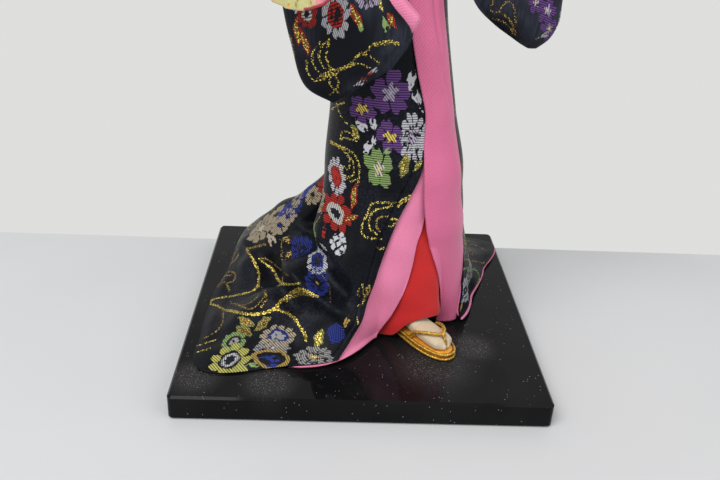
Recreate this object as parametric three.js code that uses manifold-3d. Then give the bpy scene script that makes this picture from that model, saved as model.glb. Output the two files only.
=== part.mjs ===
// A geisha doll in a trailing brocade kimono, standing on a square lacquered board.
// Millimetres. +Z is up, the doll faces -Y and its left hand is towards +X.
// The origin is the centre of the board's underside.

import * as THREE from "three";
import { mergeVertices } from "three/addons/utils/BufferGeometryUtils.js";
import Module from "manifold-3d";

const wasm = await Module();
wasm.setup();

// Driving dimensions: the board.
const boardSide = 140;
const boardThickness = 10;
const boardCornerRadius = 2;
const boardBevel = 0.8;

// Driving dimensions: heights above the table, then lengths on up from the sash.
const kneeHeight = 72; // where the skirts begin to flare
const calfHeight = 98;
const hipHeight = 138;
const sashBottom = 168;
const skirtUnderSash = 8;
const sashWidth = 35;
const chestRise = 11; // from the sash's top to the chest
const shoulderRise = 16; // from the chest to the shoulder line
const neckRise = 8; // from the shoulder line to the root of the neck

// Driving dimensions: cloth, wire and the clearance between pieces that touch.
const brocadeThickness = 0.8;
const liningThickness = 0.7;
const underskirtThickness = 0.6;
const sashThickness = 1.8;
const wireRadius = 0.8;
const touchGap = 0.3;

// Driving dimensions: feet and sandals.
const soleLength = 35;
const soleWidth = 13.5;
const soleThickness = 3.6;
const pipingRadius = 0.55;
const rightFootCentre = [24.7, -30];
const rightFootTurn = 35.6; // degrees from the front towards the doll's left
const leftFootCentre = [24.5, 9.5];
const leftFootTurn = 17;

// Driving dimensions: head.
const neckLength = 10.5; // from the collar up to the chin
const headHeight = 37; // from the chin up to the crown
const headHalfWidth = 13.2;
const headHalfDepth = 15;
const neckRadius = 5.2;
const neckPegRadius = 2.4;
const neckPegLength = 20;

const skirtTop = sashBottom + skirtUnderSash;
const sashTop = sashBottom + sashWidth;
const chestHeight = sashTop + chestRise;
const shoulderHeight = chestHeight + shoulderRise;
const neckBaseHeight = shoulderHeight + neckRise;
const boardTop = boardThickness;
const floorOfCloth = boardTop + touchGap; // the lowest a cloth may lie
const liningInset = brocadeThickness + touchGap;
const underskirtInset = liningInset + liningThickness + touchGap + 0.2; // its facets differ
const coreInset = underskirtInset + underskirtThickness + touchGap;
const hemHeight = floorOfCloth + liningThickness + touchGap + brocadeThickness;

// Colours.
const colours = {
  lacquer: [0x0b0b0d, 0.18, 0],
  steel: [0x9a9a9c, 0.4, 1],
  brocade: [0x15161c, 0.5, 0],
  pinkSatin: [0xd8639a, 0.45, 0],
  redCrepe: [0xc21a1e, 0.75, 0],
  straw: [0xcbb98c, 0.9, 0],
  wadding: [0xe9e6df, 0.95, 0],
  porcelain: [0xf1ece2, 0.35, 0],
  tabi: [0xe6dccb, 0.7, 0],
  goldCord: [0xc8962a, 0.35, 0.8],
  goldLeather: [0xd08a1c, 0.45, 0],
  soleCork: [0x3b2a1c, 0.8, 0],
  sashBrocade: [0xa8231f, 0.5, 0],
  hair: [0x09090a, 0.3, 0],
  whiteSilk: [0xeee8e2, 0.6, 0],
  fanPaper: [0xd9cf8a, 0.6, 0],
  bamboo: [0x7c1a14, 0.4, 0],
  coral: [0xc73b34, 0.35, 0],
  gilt: [0xd0a040, 0.3, 1],
};

const part = new THREE.Group();

function finish([colour, roughness, metalness]) {
  return new THREE.MeshStandardMaterial({ color: colour, roughness, metalness });
}

// Interpolation, angles and points.

const V = (x, y, z) => new THREE.Vector3(x, y, z);
const radians = THREE.MathUtils.degToRad;
const lerp = THREE.MathUtils.lerp;
const clamp = THREE.MathUtils.clamp;
const steps = (count) => Array.from({ length: count + 1 }, (_, i) => i / count);

// A smooth curve through [position, value] keys that never overshoots them.
function track(...keys) {
  const slopes = keys.map((_, i) => {
    if (i === 0 || i === keys.length - 1) return 0;
    const before = (keys[i][1] - keys[i - 1][1]) / (keys[i][0] - keys[i - 1][0]);
    const after = (keys[i + 1][1] - keys[i][1]) / (keys[i + 1][0] - keys[i][0]);
    return before * after <= 0 ? 0 : (2 * before * after) / (before + after);
  });
  return (x) => {
    if (x <= keys[0][0]) return keys[0][1];
    if (x >= keys.at(-1)[0]) return keys.at(-1)[1];
    const i = keys.findIndex(([at]) => at > x) - 1;
    const [x0, y0] = keys[i];
    const [x1, y1] = keys[i + 1];
    const span = x1 - x0;
    const s = (x - x0) / span;
    const rise = y1 - y0;
    return (
      y0 +
      slopes[i] * span * s * (1 - s) ** 2 -
      slopes[i + 1] * span * s * s * (1 - s) +
      rise * s * s * (3 - 2 * s)
    );
  };
}

// The same round a full turn, with keys in degrees.
function roundTrack(...keys) {
  const turn = 360;
  const sorted = keys.slice().sort((a, b) => a[0] - b[0]);
  const shifted = (by) => sorted.map(([at, value]) => [at + by, value]);
  const around = track(...shifted(-turn), ...sorted, ...shifted(turn));
  const first = sorted[0][0];
  return (degrees) => around(first + THREE.MathUtils.euclideanModulo(degrees - first, turn));
}

// Headings are in degrees: 0 faces the front and 90 the doll's left.
function heading(degrees) {
  return V(Math.sin(radians(degrees)), -Math.cos(radians(degrees)), 0);
}

function ellipseRadius(a, b, degrees) {
  const s = Math.sin(radians(degrees));
  const c = Math.cos(radians(degrees));
  return (a * b) / Math.hypot(b * s, a * c);
}

// Solids.

// A closed body from points and triangles, turned to face outwards.
function closedBody(points, triangles) {
  const geometry = new THREE.BufferGeometry().setFromPoints(points);
  geometry.setIndex(triangles);
  return solidOf(geometry);
}

function solidOf(source) {
  const bare = source.index ? source.toNonIndexed() : source.clone();
  for (const name of Object.keys(bare.attributes)) {
    if (name !== "position") bare.deleteAttribute(name);
  }
  const merged = mergeVertices(bare, 1e-4);
  const vertProperties = merged.attributes.position.array;
  const triVerts = new Uint32Array(merged.index.array);
  const made = new wasm.Manifold(new wasm.Mesh({ numProp: 3, vertProperties, triVerts }));
  if (made.volume() > 0) return made;
  for (let i = 0; i < triVerts.length; i += 3) {
    [triVerts[i + 1], triVerts[i + 2]] = [triVerts[i + 2], triVerts[i + 1]];
  }
  return new wasm.Manifold(new wasm.Mesh({ numProp: 3, vertProperties, triVerts }));
}

function union(...solids) {
  return solids.reduce((whole, piece) => whole.add(piece));
}

function cut(solid, ...tools) {
  return tools.reduce((rest, tool) => rest.subtract(tool), solid);
}

// The largest of the separate bodies a cut may leave.
function largest(solid) {
  return solid.decompose().reduce((best, body) => (body.volume() > best.volume() ? body : best));
}

function piece(name, solid, look) {
  const mesh = solid.getMesh();
  const geometry = new THREE.BufferGeometry();
  geometry.setAttribute("position", new THREE.BufferAttribute(mesh.vertProperties, 3));
  geometry.setIndex(new THREE.BufferAttribute(mesh.triVerts, 1));
  geometry.computeVertexNormals();
  const made = new THREE.Mesh(geometry, finish(look));
  made.name = name;
  part.add(made);
  return solid;
}

// A solid through closed rings of points, fanned shut at both ends.
function loft(rings) {
  const sides = rings[0].length;
  const points = rings.flat();
  const triangles = [];
  for (let r = 0; r + 1 < rings.length; r++) {
    for (let s = 0; s < sides; s++) {
      const a = r * sides + s;
      const b = r * sides + ((s + 1) % sides);
      triangles.push(a, b, a + sides, b, b + sides, a + sides);
    }
  }
  const middle = (ring) =>
    ring.reduce((sum, p) => sum.add(p), V(0, 0, 0)).divideScalar(ring.length);
  const low = points.push(middle(rings[0])) - 1;
  const high = points.push(middle(rings.at(-1))) - 1;
  const last = (rings.length - 1) * sides;
  for (let s = 0; s < sides; s++) {
    const next = (s + 1) % sides;
    triangles.push(low, next, s, high, last + s, last + next);
  }
  return closedBody(points, triangles);
}

// A closed sheet between an outer and an inner surface, both point(u, v), on one grid.
// A round one joins its last column to its first.
function sheet(outer, inner, us, vs, round = false) {
  const columns = us.length;
  const points = [outer, inner].flatMap((surface) =>
    vs.flatMap((v) => us.map((u) => surface(u, v))),
  );
  const back = columns * vs.length;
  const at = (i, j) => j * columns + i;
  const triangles = [];
  const quad = (a, b, c, d) => triangles.push(a, b, c, a, c, d);
  const spans = round ? columns : columns - 1;
  const next = (i) => (i + 1) % columns;
  for (let j = 0; j + 1 < vs.length; j++) {
    for (let i = 0; i < spans; i++) {
      const corners = [at(i, j), at(next(i), j), at(next(i), j + 1), at(i, j + 1)];
      const [p, q, r, s] = corners.map((corner) => points[corner]);
      if (q.distanceTo(s) < p.distanceTo(r)) corners.push(corners.shift());
      quad(...corners);
      const [a, b, c, d] = corners.map((corner) => corner + back);
      quad(c, b, a, d);
    }
    if (round) continue;
    quad(at(0, j + 1), at(0, j + 1) + back, at(0, j) + back, at(0, j));
    const i = columns - 1;
    quad(at(i, j), at(i, j) + back, at(i, j + 1) + back, at(i, j + 1));
  }
  const j = vs.length - 1;
  for (let i = 0; i < spans; i++) {
    quad(at(i, 0), at(i, 0) + back, at(next(i), 0) + back, at(next(i), 0));
    quad(at(next(i), j), at(next(i), j) + back, at(i, j) + back, at(i, j));
  }
  return closedBody(points, triangles);
}

// A round bar through points; its radius may change with the share of points passed.
function bar(points, radius, sides = 8) {
  const radiusAt = typeof radius === "function" ? radius : () => radius;
  const last = points.length - 1;
  const alongAt = (i) => {
    const back = points[i].clone().sub(points[Math.max(i - 1, 0)]).normalize();
    const ahead = points[Math.min(i + 1, last)].clone().sub(points[i]).normalize();
    return back.add(ahead).normalize();
  };
  const across = V(0, 0, 1).cross(alongAt(0));
  if (across.length() < 0.1) across.set(0, 1, 0).cross(alongAt(0));
  const rings = points.map((p, i) => {
    const along = alongAt(i);
    across.addScaledVector(along, -across.dot(along)).normalize();
    return ringAround(p, across, along.clone().cross(across), radiusAt(i / last), sides);
  });
  return loft(rings);
}

function ringAround(centre, across, other, radius, sides) {
  return steps(sides)
    .slice(0, sides)
    .map((s) =>
      centre
        .clone()
        .addScaledVector(across, radius * Math.cos(2 * Math.PI * s))
        .addScaledVector(other, radius * Math.sin(2 * Math.PI * s)),
    );
}

function curve(points, count) {
  return new THREE.CatmullRomCurve3(points).getPoints(count);
}

// An endless cord along a loop of points in the plane across a direction.
function hoop(points, radius, sides = 6, across = V(0, 0, 1)) {
  const count = points.length;
  const rings = points.map((p, i) => {
    const along = points[(i + 1) % count].clone().sub(points[(i + count - 1) % count]);
    along.normalize();
    const outwards = along.clone().cross(across).normalize();
    return ringAround(p, outwards, outwards.clone().cross(along), radius, sides);
  });
  const triangles = [];
  for (let r = 0; r < count; r++) {
    for (let s = 0; s < sides; s++) {
      const a = r * sides + s;
      const b = r * sides + ((s + 1) % sides);
      const c = ((r + 1) % count) * sides + s;
      const d = ((r + 1) % count) * sides + ((s + 1) % sides);
      triangles.push(a, b, c, b, d, c);
    }
  }
  return closedBody(rings.flat(), triangles);
}

function ball(centre, radii, turn = [0, 0, 0], around = 12, down = 8) {
  const geometry = new THREE.SphereGeometry(1, around, down);
  const matrix = new THREE.Matrix4().compose(
    V(...centre),
    new THREE.Quaternion().setFromEuler(new THREE.Euler(...turn.map(radians))),
    V(...radii),
  );
  return solidOf(geometry.applyMatrix4(matrix));
}

function block(low, high) {
  const size = high.map((end, i) => end - low[i]);
  const centre = high.map((end, i) => (end + low[i]) / 2);
  return solidOf(new THREE.BoxGeometry(...size).translate(...centre));
}

// The body's upright axis and the elliptical column of the clothed figure.

const axisX = track(
  [boardTop, 12],
  [kneeHeight, 11.2],
  [calfHeight, 9.3],
  [hipHeight, 6],
  [skirtTop, 3.6],
  [chestHeight, 2.4],
  [neckBaseHeight, 2],
);
const columnHalfWidth = track(
  [kneeHeight, 28],
  [calfHeight, 24.4],
  [hipHeight, 20.4],
  [skirtTop, 19.4],
);
const columnHalfDepth = track(
  [kneeHeight, 24],
  [calfHeight, 20.6],
  [hipHeight, 18],
  [skirtTop, 15.8],
);

function columnRadius(degrees, z) {
  return ellipseRadius(columnHalfWidth(z), columnHalfDepth(z), degrees);
}

function polar(degrees, radius, z) {
  return heading(degrees).multiplyScalar(radius).add(V(axisX(z), 0, z));
}

// The kimono's skirt. Each direction has the reach of its hem, how high the cloth stands over
// the board just inside the hem, how far inside, and where it leaves the column.
const hemDirections = [
  { at: -8, reach: 32, rise: 15, lie: 1, leave: 30.5, drop: 24 },
  { at: -23, reach: 52, rise: 8, lie: 9, leave: 31, drop: 22 },
  { at: -40, reach: 68, rise: 3, lie: 26, leave: 31, drop: 32 },
  { at: -54, reach: 91, rise: 3, lie: 42, leave: 32, drop: 40 },
  { at: -68, reach: 82, rise: 9, lie: 22, leave: 33, drop: 40 },
  { at: -86, reach: 76, rise: 4, lie: 34, leave: 32, drop: 40 },
  { at: -101, reach: 75, rise: 16, lie: 14, leave: 32, drop: 28 },
  { at: -118, reach: 80, rise: 27, lie: 8, leave: 32, drop: 20 },
  { at: -132, reach: 86, rise: 17, lie: 14, leave: 31, drop: 26 },
  { at: -150, reach: 71, rise: 6, lie: 26, leave: 31, drop: 38 },
  { at: -180, reach: 62, rise: 5, lie: 20, leave: 30, drop: 38 },
  { at: -206, reach: 70, rise: 3, lie: 30, leave: 31, drop: 38 },
  { at: -225, reach: 78, rise: 2, lie: 34, leave: 31, drop: 36 },
  { at: -240, reach: 54, rise: 6, lie: 14, leave: 31, drop: 30 },
  { at: -270, reach: 37, rise: 16, lie: 2, leave: 29.5, drop: 24 },
  { at: -297, reach: 35, rise: 16, lie: 2, leave: 27, drop: 24 },
  { at: -318, reach: 33, rise: 16, lie: 2, leave: 27, drop: 24 },
];
const hem = Object.fromEntries(
  ["reach", "rise", "lie", "leave", "drop"].map((field) => [
    field,
    roundTrack(...hemDirections.map((d) => [d.at, d[field]])),
  ]),
);

// Where the brocade's two front edges and the lining's stand at each height, in degrees.
const rightFrontEdge = track(
  [hemHeight, -23],
  [28, -15],
  [46, -11],
  [58, -3],
  [kneeHeight, 13],
  [calfHeight, 34],
  [skirtTop, 40],
);
const rightLiningEdge = track(
  [hemHeight, -7.5],
  [29, 6],
  [43, 13.6],
  [60, 24],
  [kneeHeight, 30],
  [calfHeight, 38],
  [skirtTop, 44],
);
const leftFrontEdge = track(
  [hemHeight, 63],
  [40, 70],
  [65, 78],
  [calfHeight, 80],
  [hipHeight, 76],
  [skirtTop, 60],
);

const kneeRow = 0.36; // the share of the sheet's rows that lies above the knee
const linings = 0.08; // how far beyond its u range the lining shows at the right front edge

// Radius and height of the kimono's outer face in one direction; v runs down from 0 to 1.
function skirtProfile(degrees, v) {
  if (v <= kneeRow) {
    const z = lerp(skirtTop, kneeHeight, v / kneeRow);
    return [columnRadius(degrees, z), z];
  }
  const t = (v - kneeRow) / (1 - kneeRow);
  const start = columnRadius(degrees, kneeHeight);
  const reach = hem.reach(degrees);
  const r = [start, Math.max(hem.leave(degrees), start), reach - hem.lie(degrees), reach];
  const z = [
    kneeHeight,
    kneeHeight - hem.drop(degrees),
    hemHeight + hem.rise(degrees),
    hemHeight,
  ];
  const bezier = (p) =>
    p[0] * (1 - t) ** 3 + 3 * p[1] * t * (1 - t) ** 2 + 3 * p[2] * t * t * (1 - t) + p[3] * t ** 3;
  return [bezier(r), bezier(z)];
}

// The height that row v has along an edge, found from the profile in that edge's direction.
function edgeHeading(edge, v) {
  let degrees = edge(kneeHeight);
  for (let round = 0; round < 6; round++) degrees = edge(skirtProfile(degrees, v)[1]);
  return degrees;
}

// u 0 is the right front edge and u 1 the left one; below 0 the lining shows past the brocade.
function skirtHeading(u, v) {
  const start = edgeHeading(rightFrontEdge, v);
  if (u < 0) return lerp(start, edgeHeading(rightLiningEdge, v), -u / linings);
  return lerp(start, edgeHeading(leftFrontEdge, v) - 360, u);
}

function skirtPoint(u, v) {
  const degrees = skirtHeading(u, v);
  const [radius, z] = skirtProfile(degrees, v);
  return polar(degrees, radius, z);
}

// The skirt's outer face moved inwards along its normal, and kept above the board.
function skirtInset(inset, lowest) {
  const h = 0.004;
  return (u, v) => {
    const across = skirtPoint(u + h, v).sub(skirtPoint(u - h, v));
    const down = skirtPoint(u, Math.min(v + h, 1)).sub(skirtPoint(u, Math.max(v - h, 0)));
    const normal = down.cross(across).normalize();
    const p = skirtPoint(u, v).addScaledVector(normal, inset);
    p.z = Math.max(p.z, lowest);
    return p;
  };
}

// Shares of the way from the hidden top edge down to the knee that every layer has a row at.
const bodyShares = [0, 0.3, 0.55, 0.78, 1];
const bodyHeight = (share) => lerp(skirtTop, kneeHeight, share);
const sideEnd = 0.44;
const skirtColumns = [
  ...steps(16).map((s) => sideEnd * s),
  ...steps(10).slice(1).map((s) => lerp(sideEnd, 1, s)),
];
const hemShares = steps(8).slice(1);
const skirtRows = [
  ...bodyShares.map((s) => s * kneeRow),
  ...hemShares.map((s) => lerp(kneeRow, 1, s)),
];
const liningColumns = [1, 0.75, 0.5, 0.25].map((s) => -linings * s).concat(skirtColumns);

piece(
  "kimono_skirt",
  sheet(
    skirtInset(0, hemHeight),
    skirtInset(brocadeThickness, hemHeight - brocadeThickness),
    skirtColumns,
    skirtRows,
  ),
  colours.brocade,
);
piece(
  "kimono_lining",
  sheet(
    skirtInset(liningInset, floorOfCloth + liningThickness),
    skirtInset(liningInset + liningThickness, floorOfCloth),
    liningColumns,
    skirtRows,
  ),
  colours.pinkSatin,
);

// Wadding that holds the train up where it lies on the board.
const waddingInset = liningInset + liningThickness + touchGap;
const waddingTop = skirtInset(waddingInset, floorOfCloth + 0.5);
const waddingBottom = (u, v) => waddingTop(u, v).setZ(floorOfCloth);
piece(
  "train_wadding",
  sheet(
    waddingTop,
    waddingBottom,
    skirtColumns.filter((u) => u > 0.1 && u < 0.43),
    skirtRows.filter((v) => v > 0.75 && v < 0.95),
  ),
  colours.wadding,
);

// The pink facing: the doll's left front edge, turned back so that its lining shows.
const facingBottom = floorOfCloth + 1;
const facingLeftEdge = track(
  [facingBottom, 58],
  [30, 50],
  [50, 28],
  [65, 22],
  [calfHeight, 17],
  [hipHeight, 15],
  [skirtTop, 13],
);
const facingRightEdge = track(
  [facingBottom, 61.5],
  [40, 67],
  [65, 76.5],
  [calfHeight, 78],
  [hipHeight, 74],
  [skirtTop, 56],
);
const facingLowLeft = track([facingBottom, 26.8], [30, 28.4], [50, 28]);
const facingLowRight = track([facingBottom, 32.5], [40, 31], [50, 30]);
const facingThickness = 0.8;
const facingLift = touchGap + 0.15 + facingThickness;

function facingPoint(inset) {
  return (u, v) => {
    const z = lerp(skirtTop, facingBottom, v);
    const degrees = lerp(facingLeftEdge(z), facingRightEdge(z), u);
    const onBody = columnRadius(degrees, Math.max(z, kneeHeight)) + facingLift;
    const share = clamp((z - 50) / (kneeHeight - 50), 0, 1);
    const blend = share * share * (3 - 2 * share);
    const free = lerp(facingLowLeft(z), facingLowRight(z), u);
    const bulge = 0.9 * Math.sin(Math.PI * u) * clamp((sashBottom - z) / 30, 0, 1);
    return polar(degrees, lerp(free, onBody, blend) + bulge - inset, z);
  };
}
piece(
  "kimono_facing",
  sheet(
    facingPoint(0),
    facingPoint(facingThickness),
    steps(5),
    [...bodyShares.map(bodyHeight), 62, 52, 42, 30, 20, facingBottom].map(
      (z) => (skirtTop - z) / (skirtTop - facingBottom),
    ),
  ),
  colours.pinkSatin,
);

// The red underskirt, closed all round; its hem is lifted over the right foot.
const redReach = roundTrack(
  [-12, 28],
  [10, 31.5],
  [33, 33.5],
  [52, 24.4],
  [75, 23],
  [100, 27],
  [135, 32.5],
  [180, 31.5],
  [225, 29],
  [270, 27.5],
  [320, 28],
);
const redHem = roundTrack(
  [-14, floorOfCloth + 0.6],
  [0, floorOfCloth + 1.4],
  [12, 18.2],
  [22, 20.5],
  [36, 20.9],
  [60, 18],
  [100, floorOfCloth + 2],
  [140, floorOfCloth + 0.6],
  [220, floorOfCloth + 0.6],
  [300, floorOfCloth + 0.6],
);
const redKneeRow = 0.4;

function redPoint(inset) {
  return (u, v) => {
    const degrees = u * 360;
    if (v <= redKneeRow) {
      const z = lerp(skirtTop, kneeHeight, v / redKneeRow);
      return polar(degrees, columnRadius(degrees, z) - underskirtInset - inset, z);
    }
    const t = (v - redKneeRow) / (1 - redKneeRow);
    const start = columnRadius(degrees, kneeHeight) - underskirtInset;
    const reach = redReach(degrees);
    const low = redHem(degrees);
    const r = [start, start + 0.6, reach - 1.2, reach];
    const z = [kneeHeight, kneeHeight - 18, low + 15, low];
    const [radius, height] = [r, z].map(
      (p) =>
        p[0] * (1 - t) ** 3 +
        3 * p[1] * t * (1 - t) ** 2 +
        3 * p[2] * t * t * (1 - t) +
        p[3] * t ** 3,
    );
    return polar(degrees, radius - inset, height);
  };
}
const redColumns = steps(24).slice(0, 24);
const redRows = [
  ...bodyShares.map((s) => s * redKneeRow),
  ...steps(5).slice(1).map((s) => lerp(redKneeRow, 1, s)),
];
piece(
  "under_skirt",
  sheet(redPoint(0), redPoint(underskirtThickness), redColumns, redRows, true),
  colours.redCrepe,
);

// The upper garment's outer face.
const bodiceBottom = skirtTop + 1;
const bodiceTop = neckBaseHeight - 1;
const bodiceHalfWidth = track(
  [bodiceBottom, 20.2],
  [sashTop, 19.6],
  [chestHeight, 19],
  [shoulderHeight - 6, 19.8],
  [shoulderHeight, 18.8],
  [shoulderHeight + 4, 15.2],
  [bodiceTop, 9.8],
);
const bodiceHalfDepth = track(
  [bodiceBottom, 16.8],
  [sashTop, 15.8],
  [chestHeight, 14.6],
  [shoulderHeight - 6, 13],
  [shoulderHeight, 11.6],
  [shoulderHeight + 4, 10.3],
  [bodiceTop, 9.2],
);
const bodiceThickness = 0.8;
const bodiceHeights = [
  bodiceBottom,
  sashTop,
  chestHeight,
  ...[-8, -3, 0.5, 3, 5].map((up) => shoulderHeight + up),
  bodiceTop,
];

function bodiceRadius(degrees, z) {
  return ellipseRadius(bodiceHalfWidth(z), bodiceHalfDepth(z), degrees);
}

function ellipseRing(z, halfWidth, halfDepth, sides = 24) {
  return steps(sides)
    .slice(0, sides)
    .map((s) => polar(s * 360, ellipseRadius(halfWidth, halfDepth, s * 360), z));
}

function bodiceForm(extra) {
  return loft([
    ...bodiceHeights.map((z) => ellipseRing(z, bodiceHalfWidth(z) + extra, bodiceHalfDepth(z) + extra)),
    ellipseRing(bodiceTop + Math.max(extra, 0.01), 8.5, 8),
  ]);
}

// The wadded core: a bundle bound round the wires, from the knees to the shoulders.
const coreBottom = 60;
const coreTop = shoulderHeight + 3;
const coreRings = [
  ...[coreBottom, ...bodyShares.map(bodyHeight).reverse()].map((z) =>
    ellipseRing(
      z,
      columnHalfWidth(Math.max(z, kneeHeight)) - coreInset - 0.2,
      columnHalfDepth(Math.max(z, kneeHeight)) - coreInset - 0.2,
      18,
    ),
  ),
  ...[bodiceBottom, sashTop, chestHeight, coreTop - 11, coreTop - 5, coreTop - 2].map((z) => {
    const inset = bodiceThickness + touchGap + 0.2;
    return ellipseRing(z, bodiceHalfWidth(z) - inset, bodiceHalfDepth(z) - inset, 18);
  }),
  ellipseRing(coreTop, 13.4, 8.8, 18),
];

// The wires: one up each leg from a foot let into the board, and one through both arms.
function alongFoot([x, y], turn, ahead, across) {
  const forward = heading(turn);
  return [x + forward.x * ahead - forward.y * across, y + forward.y * ahead + forward.x * across];
}
const ankleAhead = -11;
const rightAnkle = alongFoot(rightFootCentre, rightFootTurn, ankleAhead, 0);
const leftAnkle = alongFoot(leftFootCentre, leftFootTurn, ankleAhead, 0);
const wireFoot = 10;
const wireHeight = 1.5;

function legWire([x, y], [x2, y2]) {
  return [
    V(x + wireFoot, y, wireHeight),
    V(x, y, wireHeight),
    V(x, y, 37),
    V(x2, y2, 78),
    V(lerp(x2, 10, 0.5), y2 * 0.6, 112),
  ];
}
const rightLeg = legWire(rightAnkle, [16.5, -9]);
const leftLeg = legWire(leftAnkle, [15.5, 9]);
const atShoulder = (x, y, up) => V(x, y, shoulderHeight + up);
const rightElbow = atShoulder(-25.4, -13.2, -20.4);
const rightWrist = atShoulder(-34.3, -29.5, -42.5);
const leftElbow = atShoulder(48, -2, -8);
const leftWrist = atShoulder(76.5, -8.5, -9.7);
const rightShoulder = atShoulder(-14, 4.8, -2.5);
const leftShoulder = atShoulder(18, 4.8, -2.5);
const fanPivot = atShoulder(-26.5, -44.5, -50);
const fanYaw = 50; // degrees the fan is turned away from the front
const fanFront = V(-Math.sin(radians(fanYaw)), -Math.cos(radians(fanYaw)), 0);
const gripDepth = 2.4; // from the middle of the palm to the face of the fan's ribs
const gripReach = 10; // from the root of the palm to the fan's pivot
const gripPoint = fanPivot.clone().addScaledVector(fanFront, gripDepth);
const rightHandAhead = gripPoint.distanceTo(rightWrist) - gripReach;
const rightHandWay = gripPoint.clone().sub(rightWrist).normalize();
const leftHandAhead = 6;
const leftHandWay = V(1, -0.35, -0.35).normalize();
const wireIntoHand = 4.2;
const armWire = [
  rightWrist.clone().addScaledVector(rightHandWay, wireIntoHand),
  rightWrist,
  rightElbow,
  rightShoulder,
  leftShoulder,
  leftElbow,
  leftWrist,
  leftWrist.clone().addScaledVector(leftHandWay, wireIntoHand),
];
const bore = wireRadius + touchGap;

// Room for a wire, a little longer than the wire at both ends.
function wireRoom(path, sides = 8) {
  const past = (end, before) => end.clone().add(end.clone().sub(before).setLength(0.4));
  const room = [past(path[0], path[1]), ...path.slice(1, -1), past(path.at(-1), path.at(-2))];
  return bar(room, bore, sides);
}

piece("right_leg_wire", bar(rightLeg, wireRadius), colours.steel);
piece("left_leg_wire", bar(leftLeg, wireRadius), colours.steel);
piece("arm_wire", bar(armWire, wireRadius), colours.steel);

const neckX = axisX(neckBaseHeight);
const pegBottom = neckBaseHeight - neckPegLength;
const pegSides = 16;
const pegClearance = 0.05; // between the peg's corners and the flats of its hole
const pegHoleRadius = (neckPegRadius + pegClearance) / Math.cos(Math.PI / pegSides);
const pegRoomEnds = [V(neckX, 0, pegBottom - 0.5), V(neckX, 0, coreTop + 7)];
const pegBore = bar(pegRoomEnds, pegHoleRadius, pegSides);
piece(
  "body_core",
  cut(loft(coreRings), wireRoom(rightLeg), wireRoom(leftLeg), wireRoom(armWire), pegBore),
  colours.straw,
);
piece(
  "kimono_bodice",
  cut(
    loft([
      ...bodiceHeights.map((z) => ellipseRing(z, bodiceHalfWidth(z), bodiceHalfDepth(z))),
    ]),
    loft(
      [-1, ...bodiceHeights, 999].map((z) => {
        const at = clamp(z, bodiceBottom, bodiceTop);
        const inset = bodiceThickness;
        const shift = z === -1 ? -2 : z === 999 ? 2 : 0;
        return ellipseRing(at + shift, bodiceHalfWidth(at) - inset, bodiceHalfDepth(at) - inset);
      }),
    ),
    wireRoom(armWire),
    ball([neckX, -13, neckBaseHeight + 1.5], [6.2, 8, 6.8], [0, 0, 0], 16, 10),
  ),
  colours.brocade,
);

// The base board, with holes and grooves for the leg wires.
function boardRing(z, inset) {
  const outline = new THREE.Shape();
  const half = boardSide / 2 - inset;
  const corner = half - boardCornerRadius + inset * 0.4;
  outline.moveTo(half, 0);
  outline.absarc(corner, corner, half - corner, 0, Math.PI / 2);
  outline.absarc(-corner, corner, half - corner, Math.PI / 2, Math.PI);
  outline.absarc(-corner, -corner, half - corner, Math.PI, 1.5 * Math.PI);
  outline.absarc(corner, -corner, half - corner, 1.5 * Math.PI, 2 * Math.PI);
  const points = outline.getPoints(4).slice(1);
  return points.map((p) => V(p.x, p.y, z));
}

function wireSlot([x, y]) {
  return union(
    bar([V(x, y, -1), V(x, y, boardTop + 1)], bore, 12),
    block([x - bore, y - bore, -1], [x + wireFoot + 2, y + bore, wireHeight + bore]),
  );
}
piece(
  "base_board",
  cut(
    loft([
      boardRing(0, boardBevel),
      boardRing(boardBevel, 0),
      boardRing(boardTop - boardBevel, 0),
      boardRing(boardTop, boardBevel),
    ]),
    wireSlot(rightAnkle),
    wireSlot(leftAnkle),
  ),
  colours.lacquer,
);

// One foot in its sandal, drawn pointing to -Y with the big toe towards +X: a right foot.
const soleBottom = boardTop + touchGap;
const insoleBottom = soleBottom + soleThickness - 0.8;
const insoleTop = insoleBottom + 0.5;
const footBottom = insoleTop + touchGap;
const soleHalfLength = soleLength / 2 - 2 * pipingRadius - touchGap;
const soleHalfWidth = soleWidth / 2 - 2 * pipingRadius - touchGap + 0.4;

function soleRing(z, extra, sides = 26) {
  return steps(sides)
    .slice(0, sides)
    .map((s) => {
      const c = Math.cos(2 * Math.PI * s);
      const d = Math.sin(2 * Math.PI * s);
      const ahead = Math.sign(c) * Math.abs(c) ** 0.82 * (soleHalfLength + extra);
      const waist = 1 - 0.07 * Math.exp(-(((ahead + 5) / 6) ** 2));
      const across = Math.sign(d) * Math.abs(d) ** 0.82 * (soleHalfWidth * waist + extra);
      return V(across, -ahead, z);
    });
}

// The foot's cross-section at a distance ahead of its middle; 90 degrees is its ridge.
const footLow = -soleHalfLength + 1.6;
const footHigh = soleHalfLength - 1.5;
const footHalfWidth = track(
  [footLow, 1.2],
  [footLow + 1.2, 3.1],
  [-11, 4.2],
  [-4, 4.4],
  [4, 5],
  [8.5, 5.1],
  [footHigh - 2.2, 4.5],
  [footHigh, 1.6],
);
const footHeight = track(
  [footLow, 2.5],
  [footLow + 1.2, 6.5],
  [-10, 8.8],
  [-5, 7],
  [0, 5],
  [9, 4.5],
  [footHigh - 2.2, 3.8],
  [footHigh, 1.8],
);

function footPoint(ahead, degrees, extra = 0) {
  const c = Math.cos(radians(degrees));
  const d = Math.sin(radians(degrees));
  const half = footHeight(ahead) / 2;
  const across = Math.sign(c) * Math.abs(c) ** 0.85 * footHalfWidth(ahead);
  const up = d > 0 ? half * d ** 0.9 : -half * Math.abs(d) ** 0.5;
  const out = V(c / footHalfWidth(ahead), 0, d / half).normalize();
  return V(across, -ahead, footBottom + half + up).addScaledVector(out, extra);
}

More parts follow.
